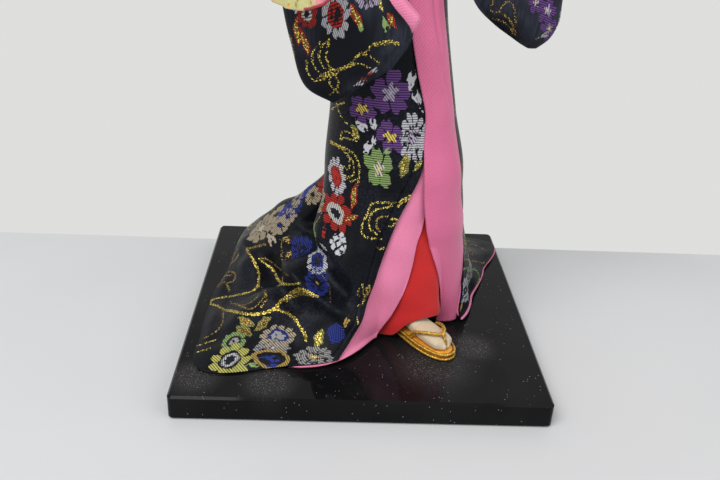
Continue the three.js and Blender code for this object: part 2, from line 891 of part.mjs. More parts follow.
const footRows = [footLow, footLow + 1.2, -11, -5, 0, 4, 8.5].concat(
  [2.2, 0.8, 0].map((back) => footHigh - back),
);

function sandalAndFoot(side, centre, turn) {
  const place = (solid) =>
    (side === "left" ? solid.mirror([1, 0, 0]) : solid)
      .rotate([0, 0, turn])
      .translate([centre[0], centre[1], 0]);
  const wire = bar([V(0, -ankleAhead, 0), V(0, -ankleAhead, 60)], bore, 10);
  const strapRadius = 0.8;
  const strapLift = strapRadius + touchGap + 0.1;
  const sides = [0, 180].map((far) => {
    const over = [
      [11.4, 90],
      [9.6, 66],
      [7, 44],
      [4, 22],
      [1.4, 4],
    ].map(([ahead, up]) => footPoint(ahead, Math.abs(far - up), strapLift));
    const end = over.at(-1).clone();
    end.x += far === 0 ? 0.15 : -0.15;
    end.y += 1.2;
    end.z = insoleTop + strapRadius + 0.15;
    return bar(curve([...over, end], 6), strapRadius, 5);
  });
  const knot = footPoint(11.6, 90, 1.5);
  const strapKnot = ball(knot.toArray(), [1.3, 1.3, 1.1], [0, 0, 0], 7, 5);
  const thong = [knot, V(0.2, -13.1, knot.z - 2.2), V(0.3, -13.3, insoleTop + 0.35)];
  const tabi = loft(
    footRows.map((ahead) =>
      steps(12)
        .slice(0, 12)
        .map((s) => footPoint(ahead, 360 * s)),
    ),
  );
  const ankle = loft(
    [
      [footBottom + 2.5, 3.9, 4],
      [footBottom + 8, 3.7, 4.2],
      [footBottom + 13, 3.1, 3.6],
      [35, 3.1, 3.4],
    ].map(([z, a, b]) =>
      steps(12)
        .slice(0, 12)
        .map((s) => V(a * Math.cos(2 * Math.PI * s), -ankleAhead + b * Math.sin(2 * Math.PI * s), z)),
    ),
  );
  const split = block([-0.85, -soleHalfLength - 2, footBottom - 1], [1.4, -11.9, footBottom + 12]);
  const soleRings = [
    soleRing(soleBottom, -0.3),
    soleRing(soleBottom + 0.4, 0),
    soleRing(insoleBottom - touchGap, 0),
  ];
  piece(
    `${side}_zori_sole`,
    place(cut(loft(soleRings), wire)),
    colours.soleCork,
  );
  piece(
    `${side}_zori_insole`,
    place(cut(loft([soleRing(insoleBottom, 0), soleRing(insoleTop, -0.15)]), wire)),
    colours.goldLeather,
  );
  for (const [name, z] of [
    ["lower", soleBottom + pipingRadius + 0.35],
    ["upper", insoleTop - 0.35],
  ]) {
    const lift = pipingRadius + touchGap + 0.05;
    const piping = hoop(soleRing(z, lift, 26), pipingRadius, 5);
    piece(`${side}_zori_${name}_piping`, place(piping), colours.goldCord);
  }
  piece(
    `${side}_zori_strap`,
    place(union(...sides, strapKnot, bar(thong, 0.65, 5))),
    colours.goldCord,
  );
  piece(`${side}_foot_tabi`, place(cut(union(tabi, ankle), split, wire)), colours.tabi);
}
sandalAndFoot("right", rightFootCentre, rightFootTurn);
sandalAndFoot("left", leftFootCentre, leftFootTurn);

// The sash, its scarf, cord and back knot.
const sashHalfWidth = 23.2;
const sashHalfDepth = 19.8;
const sashMiddle = (sashBottom + sashTop) / 2 + 0.5;

function sashForm(extra, low = sashBottom, high = sashTop) {
  return loft(
    [low, lerp(low, high, 0.06), sashMiddle, lerp(low, high, 0.94), high].map((z, i) => {
      const round = i === 0 || i === 4 ? -0.5 : 0;
      return ellipseRing(z, sashHalfWidth + extra + round, sashHalfDepth + extra + round, 28);
    }),
  );
}
const sashInside = loft(
  [sashBottom - 1, sashMiddle, sashTop + 1].map((z) =>
    ellipseRing(z, sashHalfWidth - sashThickness, sashHalfDepth - sashThickness, 28),
  ),
);
piece("obi_sash", cut(sashForm(0), sashInside), colours.sashBrocade);

const cordRadius = 1.1;
const cordHeight = sashMiddle;
const cordLoop = (extra) =>
  hoop(
    steps(28)
      .slice(0, 28)
      .map((s) => {
        const lift = touchGap + cordRadius + 0.15;
        return polar(
          s * 360,
          ellipseRadius(sashHalfWidth + lift, sashHalfDepth + lift, s * 360),
          cordHeight,
        );
      }),
    cordRadius + extra,
    5,
  );
const cordKnot = polar(0, sashHalfDepth + touchGap + 1.9, cordHeight).toArray();
const cordKnotSolid = ball(cordKnot, [2.6, 1.6, 1.8], [0, 0, 0], 8, 5);
piece("obi_cord", union(cordLoop(0), cordKnotSolid), colours.goldCord);

const scarfRadius = 2;
const scarfHeight = sashTop + touchGap + scarfRadius;
const scarfLoop = (extra) =>
  hoop(
    steps(24)
      .slice(0, 24)
      .map((s) => {
        const lift = touchGap + scarfRadius + 0.2;
        return polar(s * 360, bodiceRadius(s * 360, sashTop) + lift, scarfHeight);
      }),
    scarfRadius + extra,
    6,
  );
piece("obi_scarf", scarfLoop(0), colours.pinkSatin);

const knotHalfWidth = 16;
const knotHalfHeight = 17;
const knotHalfDepth = 8;
const knotRings = [
  [-1, 0.82],
  [-0.8, 0.96],
  [-0.2, 1],
  [0.5, 0.97],
  [0.85, 0.86],
  [1, 0.66],
].map(([back, size]) =>
  steps(16)
    .slice(0, 16)
    .map((s) => {
      const c = Math.cos(2 * Math.PI * s);
      const d = Math.sin(2 * Math.PI * s);
      return V(
        axisX(cordHeight) + Math.sign(c) * Math.abs(c) ** 0.45 * knotHalfWidth * size,
        sashHalfDepth + 3.5 + back * knotHalfDepth,
        cordHeight + 0.5 + Math.sign(d) * Math.abs(d) ** 0.45 * knotHalfHeight * size,
      );
    }),
);
piece(
  "obi_knot",
  cut(loft(knotRings), sashForm(touchGap, sashBottom - 20, sashTop + 20), cordLoop(touchGap)),
  colours.sashBrocade,
);

// The kimono's collar and the white inner one, from the back of the neck to the front.
// The share is 0 at the back and 1 at the front.
const collarHeading = track(
  [0, 180],
  [0.25, 132],
  [0.45, 92],
  [0.6, 62],
  [0.75, 30],
  [0.88, 3],
  [1, -22],
);
const collarReach = track([0, 11.6], [0.25, 10.9], [0.45, 10.4], [0.6, 10.4]);

// The edges' heights at those shares, from the root of the neck.
function collarEdge(...rises) {
  const shares = [0, 0.25, 0.45, 0.6, 0.75, 0.88, 1];
  return track(...rises.map((rise, i) => [shares[i], neckBaseHeight + rise]));
}
const outerCollar = {
  low: collarEdge(-3, -2.6, -3, -7, -15, -23, -29.6),
  high: collarEdge(3.5, 3, 1.8, -1.5, -8.5, -16.5, -23.5),
};
const whiteCollar = {
  low: collarEdge(0, 0, -0.8, -4.5, -11, -18.5),
  high: collarEdge(5, 4.6, 3.6, 1.6, -1.4, -5.4),
};

function collarPoint({ low, high }, lift, crossing, grow = 0) {
  return (u, v) => {
    const side = Math.sign(u) || 1;
    const share = Math.abs(u);
    const lap = side > 0 && crossing ? 1.4 * clamp((share - 0.66) / 0.14, 0, 1) : 0;
    const at = collarHeading(share);
    const z = lerp(low(share) - grow, high(share) + grow, v);
    const onBodice = bodiceRadius(at, Math.min(z, bodiceTop));
    const free = Math.max(collarReach(share), onBodice);
    const radius = lerp(onBodice, free, clamp((z - bodiceTop + 8) / 8, 0, 1));
    return polar(side * at, radius + lift + lap, z);
  };
}
const collarThickness = 1;
const innerCollarThickness = 0.7;
const innerLift = touchGap + 0.5 + innerCollarThickness;
const collarLift = innerLift + touchGap + 0.3 + collarThickness;
const collarShares = [0.12, 0.25, 0.35, 0.45, 0.52, 0.6, 0.68, 0.75, 0.82, 0.88, 0.94, 1];
const collarColumns = (end) => {
  const shares = collarShares.filter((share) => share <= end);
  return [...shares.map((share) => -share).reverse(), 0, ...shares];
};
piece(
  "inner_collar",
  sheet(
    collarPoint(whiteCollar, innerLift, false),
    collarPoint(whiteCollar, innerLift - innerCollarThickness, false),
    collarColumns(0.88),
    steps(2),
  ),
  colours.whiteSilk,
);
piece(
  "kimono_collar",
  sheet(
    collarPoint(outerCollar, collarLift, true),
    collarPoint(outerCollar, collarLift - collarThickness, true),
    collarColumns(1),
    steps(2),
  ),
  colours.brocade,
);

// A hanging sleeve: a brocade shell open along its inner edge round a wadded satin lining.
// Each station has a point on the inner edge, one on the outer edge and a thickness.
function sleeve(name, stations, bulge, arm, cuff) {
  const inner = new THREE.CatmullRomCurve3(stations.map(([near]) => atShoulder(...near)));
  const outer = new THREE.CatmullRomCurve3(stations.map(([, far]) => atShoulder(...far)));
  const last = stations.length - 1;
  const depth = track(...stations.map(([, , thick], i) => [i / last, thick]));
  const section = (t, skin, past) => {
    const near = inner.getPoint(t);
    const far = outer.getPoint(t);
    const across = far.clone().sub(near);
    const width = across.length();
    across.normalize();
    const down = inner.getTangent(t).add(outer.getTangent(t));
    const normal = across.clone().cross(down).normalize();
    const half = depth(t) / 2 - skin;
    const bend = 0.3 * width;
    const shares = [
      [-past, 0.6],
      [bend * 0.45, 0.87],
      [bend, 1],
      [bend + 0.5 * (width - bend), 0],
      [bend + 0.86 * (width - bend), 0],
    ].map(([at, size]) => {
      const far = (at - bend) / (width - bend);
      return [at <= bend ? at : bend + far * (width - bend - skin), size || Math.sqrt(1 - far * far)];
    });
    const top = shares.map(([at, size]) => [at, size * half]);
    const tip = [[width - skin, 0]];
    const bottom = shares.map(([at, size]) => [at, -size * half]).reverse();
    return [...top, ...tip, ...bottom].map(([at, lift]) =>
      near.clone().addScaledVector(across, at).addScaledVector(normal, lift),
    );
  };
  const form = (skin, past, from) =>
    loft([from, ...sleeveRows, 1 - from].map((t) => section(t, skin, past(t))));
  const shell = cut(
    form(0, () => 0, 0),
    form(brocadeThickness, (t) => bulge(t) + 3, 0.008),
    ...sleeveCuts,
    cuff,
  );
  piece(`${name}_sleeve`, largest(shell), colours.brocade);
  const lining = cut(form(liningInset + 0.2, bulge, 0.0135), ...sleeveCuts, arm, cuff);
  piece(`${name}_sleeve_lining`, largest(lining), colours.pinkSatin);
}
const sleeveRows = steps(10).slice(1, -1);
const collarRoom = sheet(
  collarPoint(outerCollar, collarLift + 0.5, true, 0.5),
  collarPoint(outerCollar, collarLift - collarThickness - 0.5, true, 0.5),
  collarColumns(1),
  steps(2),
);
const sleeveCuts = [
  bodiceForm(touchGap),
  sashForm(touchGap),
  cordLoop(touchGap),
  scarfLoop(touchGap),
  collarRoom,
];

const armRadius = track([0, 2], [0.3, 2.4], [1, 2]);
const armRoll = (from, elbow, wrist, extra) =>
  bar(curve([from, elbow, wrist.clone().lerp(elbow, 0.3)], 6), (t) => armRadius(t) + extra, 9);
const rightArm = (extra) => armRoll(rightShoulder, rightElbow, rightWrist, extra);
const leftArm = (extra) => armRoll(leftShoulder, leftElbow, leftWrist, extra);
for (const [name, arm] of [
  ["right_arm", rightArm],
  ["left_arm", leftArm],
]) {
  piece(name, cut(arm(0), bodiceForm(touchGap), wireRoom(armWire)), colours.wadding);
}

// Each station: inner edge, outer edge, thickness, the heights taken from the shoulder line.
// The first lies along the arm.
const rightStations = [
  [[-13, 3, 6], [-34, -31, -36.5], 4],
  [[-15, 2.5, -3], [-36.5, -32, -45], 13],
  [[-18.5, -3, -17], [-40, -31.5, -57], 13.5],
  [[-24, -12, -33], [-39.5, -30.5, -69], 13.5],
  [[-18, -22, -52], [-36, -29, -80], 14],
  [[-6, -28, -73], [-33, -28, -86], 14],
  [[4, -31.5, -87], [-29.5, -27.5, -102], 13],
  [[11.5, -33.5, -97], [-23.5, -27, -118], 8],
  [[5.5, -33, -109], [-14, -27, -123.5], 3],
];
const leftStations = [
  [[16, 3.5, 5], [79, -9, -3], 4],
  [[18, 3.5, -4], [80, -9, -10], 13],
  [[21.5, 1.5, -17], [79, -8, -24], 13.5],
  [[29, 0, -33], [78, -6, -40], 13],
  [[30.5, 0, -55], [76, -5, -55], 13],
  [[32, 0, -74], [72, -4, -70], 12.5],
  [[35.5, 0, -90], [68.5, -2, -88], 10],
  [[44.5, 0, -99], [68, -1, -98], 7.5],
  [[53, 0, -104.4], [66, -1, -103.2], 5],
  [[58.5, 0, -107.6], [61.5, 0, -107.6], 2.5],
];
const cuffRadius = 3.2;
const rightCuffLine = [atShoulder(-31, -21, -33), rightWrist, atShoulder(-37.5, -37, -51)];
const leftCuffLine = [atShoulder(66, -6, -9), atShoulder(90, -11, -10.2)];
const rightCuff = bar(rightCuffLine, cuffRadius, 12);
const leftCuff = bar(leftCuffLine, cuffRadius, 12);
sleeve(
  "right",
  rightStations,
  track([0, 0.5], [0.5, 1], [0.8, 3.5], [0.95, 3], [1, 1]),
  rightArm(touchGap),
  rightCuff,
);
sleeve("left", leftStations, () => -0.6, leftArm(touchGap), leftCuff);

// Hands, drawn with the fingers to +X, the thumb to +Y and the back of the hand to +Z.
function hand(curl, ahead, thumbTip) {
  const fingers = [-2.9, -1, 0.9, 2.8].map((y, i) => {
    const reach = [7.2, 8.8, 9, 8][i];
    const base = V(8, y * 0.85, 0);
    const middle = V(8 + reach * 0.5, y * 0.95, -0.4 - curl * 1.6);
    const tip = V(8 + reach * (1 - 0.45 * curl), y, -1 - curl * 4.6);
    return bar(curve([base, middle, tip], 2), (t) => lerp(1.15, 0.8, t), 5);
  });
  const thumb = bar(
    curve([V(2, 2.6, -0.6), V(5.8, 4.8, -1.8), thumbTip], 3),
    (t) => lerp(1.4, 0.9, t),
    6,
  );
  return union(
    bar([V(-ahead, 0, 0), V(3, 0, 0)], (t) => lerp(1.9, 2.4, t), 8),
    ball([5, 0, 0], [5, 4.1, 1.9], [0, 0, 0], 10, 6),
    thumb,
    ...fingers,
  );
}

// Sets a solid drawn on the axes at a point, its X along one direction, its Z near another.
function posed(solid, origin, forward, upward) {
  const x = forward.clone().normalize();
  const z = upward.clone().addScaledVector(x, -upward.dot(x)).normalize();
  const y = z.clone().cross(x);
  const matrix = new THREE.Matrix4().makeBasis(x, y, z).setPosition(origin);
  return solid.transform(matrix.toArray());
}

// A hand with the end of its arm, which reaches back into the cuff.
function handAndWrist(solid, wrist, elbow, ahead, way, upward) {
  const stubEnds = [wrist.clone().lerp(elbow, 0.2), wrist, wrist.clone().addScaledVector(way, 1)];
  const stub = bar(stubEnds, 1.9, 8);
  return union(posed(solid, wrist.clone().addScaledVector(way, ahead), way, upward), stub);
}
const rightHand = handAndWrist(
  hand(0.25, rightHandAhead, V(9.4, 2.2, -4.4)),
  rightWrist,
  rightElbow,
  rightHandAhead,
  rightHandWay,
  fanFront,
);
const leftHand = handAndWrist(
  hand(0.25, leftHandAhead, V(9, 4.4, -2.8)),
  leftWrist,
  leftElbow,
  leftHandAhead,
  leftHandWay,
  V(0.2, -0.1, 1),
);

// The open fan: pleated leaf, ribs and rivet, drawn in a plane and hung from its pivot.
const fanRadius = 38.5;
const fanRibs = 7;
const fanOpening = 60;
const fanPitch = -2; // degrees its foot swings to the front
const fanRoll = -4; // degrees it swings sideways in its own plane
const leafInner = 15;
const pleatDepth = 0.55;
const leafThickness = 0.35;
const ribThickness = 0.5;

// Drawn with the pivot at the origin, the leaf hanging to -Z and its face to -Y.
function fanAt(solid) {
  return solid
    .rotate([fanPitch, fanRoll, 0])
    .rotate([0, 0, -fanYaw])
    .translate(fanPivot.toArray());
}
const ribAngles = steps(fanRibs - 1).map((s) => (s - 0.5) * fanOpening);
const leafColumns = steps((fanRibs - 1) * 2);
function leafPoint(back) {
  return (u, v) => {
    const angle = radians((u - 0.5) * (fanOpening + 3));
    const fold = Math.round(u * (fanRibs - 1) * 2) % 2 === 0 ? pleatDepth : -pleatDepth;
    const radius = lerp(leafInner, fanRadius, v);
    const depth = fold * lerp(0.4, 1, v);
    return V(Math.sin(angle) * radius, depth + back, -Math.cos(angle) * radius);
  };
}
const leafBack = pleatDepth + leafThickness + touchGap + 0.1;
piece(
  "fan_leaf",
  fanAt(sheet(leafPoint(-leafBack), leafPoint(leafThickness - leafBack), leafColumns, [0, 0.5, 1])),
  colours.fanPaper,
);
function ribs(extra) {
  const low = [-0.55 - extra, -extra, -fanRadius + 1.5];
  const high = [0.55 + extra, ribThickness + extra, 2.6 + extra];
  return union(
    ...ribAngles.map((angle) => block(low, high).rotate([0, -angle, 0])),
    bar([V(0, -extra, 0), V(0, ribThickness + extra, 0)], 2 + extra, 12),
  );
}
const rivetHole = bar([V(0, -2, 0), V(0, 3, 0)], 0.85, 8);
piece(
  "fan_ribs",
  fanAt(cut(ribs(0), rivetHole)),
  colours.bamboo,
);
piece(
  "fan_rivet",
  fanAt(
    union(
      bar([V(0, -0.9, 0), V(0, ribThickness + 0.9, 0)], 0.5, 8),
      bar([V(0, -0.9, 0), V(0, -touchGap, 0)], 1.1, 10),
      bar([V(0, ribThickness + touchGap, 0), V(0, ribThickness + 0.9, 0)], 1.1, 10),
    ),
  ),
  colours.gilt,
);
const fanRoom = fanAt(
  union(ribs(touchGap), bar([V(0, -1.2, 0), V(0, ribThickness + 1.2, 0)], 1.4, 12)),
);
const handBore = wireRoom(armWire);
piece("right_hand", largest(cut(rightHand, fanRoom, handBore)), colours.porcelain);
piece("left_hand", largest(cut(leftHand, handBore)), colours.porcelain);

// The head: rings from under the chin to the crown, each with its front and back reach.
const chinHeight = neckBaseHeight + neckLength;
const headScale = headHeight / 37; // of the heights below, which are those of a head 37 high
const onHead = (x, y, up) => V(neckX + x, y, chinHeight + up * headScale);
const headHalf = track(
  [-1, 2.2],
  [1, 6],
  [4, 9],
  [8, 11.3],
  [14, 12.7],
  [20, headHalfWidth],
  [28, 12],
  [34, 7.6],
  [37, 0.8],
);
const headFront = track(
  [-1, 10],
  [1, 11.7],
  [5, 12.4],
  [10, 12.7],
  [18, 13.2],
  [25, 12.4],
  [31, 9.8],
  [35, 5],
  [37, 0.8],
);
const headBack = track(
  [-1, -6],
  [1, -2],
  [4, 3.5],
  [8, 8.5],
  [14, 12.6],
  [22, headHalfDepth],
  [30, 12],
  [35, 6],
  [37, 0.8],
);
const headRows = [-1, 0, 1.4, 3, 5, 7.5, 9, 10.5, 12.5, 15, 18, 21.5, 25, 28.5, 31.5, 34, 36, 37];
const noseUp = 10.5;
const noseLength = 1.7;

function headForm(extra, sides = 20) {
  return loft(
    headRows.map((up, row) => {
      const lift = row === 0 ? -extra : row === headRows.length - 1 ? extra : 0;
      const front = headFront(up);
      const back = headBack(up);
      const middle = (back - front) / 2;
      const depth = (front + back) / 2 + extra;
      const wide = headHalf(up) + extra;
      const tip = Math.exp(-(((up - noseUp) / 2.2) ** 2));
      const bridge = 0.5 * Math.exp(-(((up - noseUp - 3.5) / 3.5) ** 2));
      const lips = 0.35 * Math.exp(-(((up - noseUp + 4.9) / 1.4) ** 2));
      return steps(sides)
        .slice(0, sides)
        .map((s) => {
          const turn = radians(360 * s);
          const fromNose = THREE.MathUtils.euclideanModulo(360 * s + 180, 360) - 180;
          const ridge = noseLength * Math.exp(-((fromNose / 9) ** 2));
          const y = middle - depth * Math.cos(turn) - ridge * (tip + bridge + lips);
          return onHead(wide * Math.sin(turn), y, up).add(V(0, 0, lift));
        });
    }),
  );
}

const neckBottom = coreTop + touchGap;
const neck = loft(
  [
    [neckBottom, 1.6, 0],
    [neckBottom + 2, 1.55, 0],
    [neckBottom + 5, 1.15, 0],
    [neckBottom + 9, 1, 0.2],
    [chinHeight + 1, 0.98, 0.6],
    [chinHeight + 6, 1.1, 1],
  ].map(([z, size, back]) =>
    ringAround(V(neckX, back, z), V(1, 0, 0), V(0, 1, 0), neckRadius * size, 16),
  ),
);
const peg = bar([V(neckX, 0, pegBottom), V(neckX, 0, neckBottom + 1)], neckPegRadius, pegSides);
piece("head", union(headForm(0), neck, peg), colours.porcelain);

// The wig: cap, side wings, back lobe and front roll in one, open round the face.
const hairDepth = 2.4; // of the cap over the widest part of the head
const faceRoomRadii = [10.9, 12.5, 17];

function headBall([x, y, up], [a, b, c], sides, rows) {
  return ball(onHead(x, y, up).toArray(), [a, b, c * headScale], [0, 0, 0], sides, rows);
}

function wigForm(extra) {
  const lump = (place, radii) => headBall(place, radii.map((r) => r + extra), 11, 7);
  return union(
    lump([0, 3.5, 23], [headHalfWidth + hairDepth, headHalfDepth, 15.5]),
    lump([-10.5, 2.5, 17.5], [8.4, 10.5, 9]),
    lump([10.5, 2.5, 17.5], [8.4, 10.5, 9]),
    lump([0, 14, 10], [8.6, 7.5, 8]),
    lump([0, -4, 36], [10.5, 8.6, 6.8]),
  );
}
const faceRoom = union(
  headBall([0, -16.5, 11.5], faceRoomRadii, 16, 10),
  loft(
    [-10.5, 11.5].map((up) => ringAround(onHead(0, -2.5, up), V(1, 0, 0), V(0, 1, 0), 8.8, 18)),
  ),
);
const wigBare = cut(wigForm(0), headForm(touchGap), faceRoom);

// The top knot folds back over itself and is tied with a ribbon.
const knotPlaces = [
  [0, 12.5, 30.5],
  [0, 12.5, 37.5],
  [0, 7, 43.1],
  [0, 0, 42.1],
  [0, -2, 37.5],
];
const knotPath = curve(knotPlaces.map((p) => onHead(...p)), 10);
const knotRadius = track([0, 4.8], [0.25, 5.6], [0.5, 4.8], [0.8, 5.8], [1, 4.8]);
const topknot = bar(knotPath, knotRadius, 11);
const ribbonRadius = 5.9;
const ribbonAt = knotPath[5].clone();
const ribbonAlong = knotPath[6].clone().sub(knotPath[4]).normalize();
const ribbonLoop = steps(18)
  .slice(0, 18)
  .map((s) => {
    const up = V(1, 0, 0).cross(ribbonAlong);
    return ribbonAt
      .clone()
      .addScaledVector(V(1, 0, 0), ribbonRadius * Math.cos(2 * Math.PI * s))
      .addScaledVector(up, ribbonRadius * Math.sin(2 * Math.PI * s));
  });

// A comb in front of the top knot.
const combHalf = 7.5;
const combRise = 5;
const combDepth = 4.5; // below the comb's widest line
const combThickness = 1.2;
const combLean = 68;
const combShape = new THREE.Shape();
combShape.absellipse(0, 0, combHalf, combRise, 0, Math.PI);
combShape.lineTo(-combHalf, -1.5);
combShape.lineTo(2.5 - combHalf, -combDepth);
combShape.lineTo(combHalf - 2.5, -combDepth);
combShape.lineTo(combHalf, -1.5);
const comb = (extra) =>
  solidOf(
    new THREE.ExtrudeGeometry(combShape, {
      depth: combThickness + 2 * extra,
      bevelEnabled: false,
      curveSegments: 16,
    }).translate(0, 0, -combThickness / 2 - extra),
  )
    .scale([1 + extra / combHalf, 1 + extra / combRise, 1])
    .rotate([combLean, 0, 0])
    .translate(onHead(0, -7.5, 42).toArray());

// A pin through the hair with a bead at each end, and a pin with a flower.
const pinReach = 19;
const pinRadius = 0.6;
const beadRadius = 1.9;
const pinLine = [onHead(-pinReach, 8, 34), onHead(pinReach, 8, 37)];
const pin = (extra) => bar(pinLine, pinRadius + extra, 8);
const pinBeads = pinLine.map((p) =>
  ball(p.toArray(), [beadRadius, beadRadius, beadRadius], [0, 0, 0], 9, 6),
);

const flowerAt = onHead(19.2, -11, 31);
const flowerSize = 3;
const flowerLine = [onHead(14.2, 2, 26.5), onHead(18.5, -10, 30.5)];
const flowerStem = (extra) => {
  const [root, tip] = flowerLine;
  const start = root.clone().addScaledVector(root.clone().sub(tip).normalize(), extra);
  return bar([start, tip], 0.55 + extra, 8);
};
const petals = steps(5)
  .slice(0, 5)
  .map((s) => {
    const face = V(0.75, -0.62, 0.15).normalize();
    const side = V(0.62, 0.75, 0).normalize();
    const up = face.clone().cross(side);
    const p = flowerAt
      .clone()
      .addScaledVector(side, 0.75 * flowerSize * Math.cos(2 * Math.PI * s))
      .addScaledVector(up, 0.75 * flowerSize * Math.sin(2 * Math.PI * s));
    const size = 0.62 * flowerSize;
    return ball(p.toArray(), [size, size, size], [0, 0, 0], 6, 4);
  });
const heartSize = 0.6 * flowerSize;
const flowerHeart = ball(flowerAt.toArray(), [heartSize, heartSize, heartSize], [0, 0, 0], 6, 4);

piece("wig", cut(wigBare, comb(touchGap), pin(touchGap), flowerStem(touchGap)), colours.hair);
piece(
  "hair_topknot",
  cut(topknot, wigForm(touchGap), comb(touchGap), pin(touchGap)),
  colours.hair,
);
const ribbon = hoop(ribbonLoop, 0.8, 5, ribbonAlong);
piece("hair_ribbon", cut(ribbon, wigForm(touchGap)), colours.redCrepe);
piece("hair_comb", comb(0), colours.gilt);
piece("hair_pin", union(pin(0), ...pinBeads), colours.coral);
piece("flower_pin", union(flowerStem(0), ...petals, flowerHeart), colours.pinkSatin);

export default part;
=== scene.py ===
import math

import bpy
import numpy as np
from mathutils import Matrix, Vector


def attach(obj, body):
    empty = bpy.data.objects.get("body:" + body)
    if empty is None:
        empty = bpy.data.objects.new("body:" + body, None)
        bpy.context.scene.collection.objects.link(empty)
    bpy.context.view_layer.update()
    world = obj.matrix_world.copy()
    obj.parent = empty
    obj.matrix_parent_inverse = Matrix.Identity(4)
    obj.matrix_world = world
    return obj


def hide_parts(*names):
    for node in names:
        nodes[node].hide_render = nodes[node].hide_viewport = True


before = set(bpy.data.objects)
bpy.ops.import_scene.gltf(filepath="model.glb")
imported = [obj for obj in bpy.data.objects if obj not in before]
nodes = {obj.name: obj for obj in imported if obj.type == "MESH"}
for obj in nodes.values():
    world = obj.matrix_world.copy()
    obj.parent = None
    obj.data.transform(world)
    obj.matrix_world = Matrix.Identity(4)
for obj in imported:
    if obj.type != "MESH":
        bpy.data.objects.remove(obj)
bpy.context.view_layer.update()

MM = 0.001

# Numbers that the CAD shares with this script, in millimetres.

BOARD_TOP = 10.0
KNEE, CALF, HIP = 72.0, 98.0, 138.0
SASH_BOTTOM, SKIRT_TOP, SASH_TOP = 168.0, 176.0, 203.0
CHEST, SHOULDER, NECK_BASE = 214.0, 230.0, 238.0
CHIN, BODICE_RIM = 248.5, 237.0
GAP = 0.3
FLOOR_OF_CLOTH = BOARD_TOP + GAP
HEM = 12.1
CLOTH = 0.8     # how thick the outer cloths are


# Smooth curves through keys, and points round the figure's upright axis.

def track(*keys):
    x = np.array([k[0] for k in keys], float)
    y = np.array([k[1] for k in keys], float)
    slope = np.diff(y) / np.diff(x)
    m = np.zeros(len(x))
    for i in range(1, len(x) - 1):
        a, b = slope[i - 1], slope[i]
        if a * b > 0:
            m[i] = 2 * a * b / (a + b)

    def at(q):
        q = np.clip(np.asarray(q, float), x[0], x[-1])
        i = np.clip(np.searchsorted(x, q, side="right") - 1, 0, len(x) - 2)
        h = x[i + 1] - x[i]
        s = (q - x[i]) / h
        rise = y[i + 1] - y[i]
        return (y[i] + m[i] * h * s * (1 - s) ** 2 - m[i + 1] * h * s * s * (1 - s)
                + rise * s * s * (3 - 2 * s))
    return at


def round_track(*keys):
    keys = sorted(keys)
    every = [(a + turn, v) for turn in (-360, 0, 360) for a, v in keys]
    around = track(*every)
    first = keys[0][0]
    return lambda deg: around(first + np.mod(np.asarray(deg, float) - first, 360))


def lerp(a, b, t):
    return a + (b - a) * t


def smooth(t):
    t = np.clip(t, 0, 1)
    return t * t * (3 - 2 * t)


def bell(x, width):
    return np.exp(-((x / width) ** 2))


def arch(x):
    """A half circle over -1 to 1."""
    return np.sqrt(np.clip(1 - x ** 2, 0, 1))


def ellipse(a, b, deg):
    s, c = np.sin(np.radians(deg)), np.cos(np.radians(deg))
    return a * b / np.hypot(b * s, a * c)


def point(x, y, z):
    return np.stack(np.broadcast_arrays(x, y, z), -1).astype(float)


axis_x = track((BOARD_TOP, 12), (KNEE, 11.2), (CALF, 9.3), (HIP, 6), (SKIRT_TOP, 3.6),
               (CHEST, 2.4), (NECK_BASE, 2))


def polar(deg, radius, z):
    turn = np.radians(deg)
    return point(axis_x(z) + radius * np.sin(turn), -radius * np.cos(turn), z)


def unit(v):
    return v / np.maximum(np.linalg.norm(v, axis=-1, keepdims=True), 1e-9)


def wave(p, scale, seed):
    """A smooth field between about -1 and 1, with lumps of about the given size."""
    draw = np.random.default_rng(seed)
    total, count = np.zeros(p.shape[:-1]), 7
    for _ in range(count):
        way = unit(draw.normal(size=3)) * 2 * math.pi / scale * draw.uniform(0.6, 1.5)
        total += np.sin(p @ way + draw.uniform(0, 6.28))
    return total / math.sqrt(count)


def spaced(start, *spans):
    """Even values through spans, each given by its end and its count."""
    parts = []
    for end, count in spans:
        parts.append(np.linspace(start, end, count, endpoint=(end, count) == spans[-1]))
        start = end
    return np.concatenate(parts)


def round_turn(count):
    return np.linspace(0, 2 * math.pi, count, endpoint=False)


def smoothed(way, rounds):
    for _ in range(rounds):
        way[1:-1] = (way[:-2] + 2 * way[1:-1] + way[2:]) / 4
    return way


def nearest(line, p):
    """How far points lie from a line of points, the way there, and the share of the line passed."""
    best, share = np.full(p.shape[:-1], np.inf), np.zeros(p.shape[:-1])
    away = np.zeros(p.shape)
    for k, (a, b) in enumerate(zip(line[:-1], line[1:])):
        t = np.clip((p - a) @ (b - a) / max((b - a) @ (b - a), 1e-9), 0, 1)
        off = p - a - t[..., None] * (b - a)
        far = np.linalg.norm(off, axis=-1)
        closer = far < best
        best = np.where(closer, far, best)
        share = np.where(closer, (k + t) / (len(line) - 1), share)
        away = np.where(closer[..., None], off, away)
    return best, away, share


# Meshes.

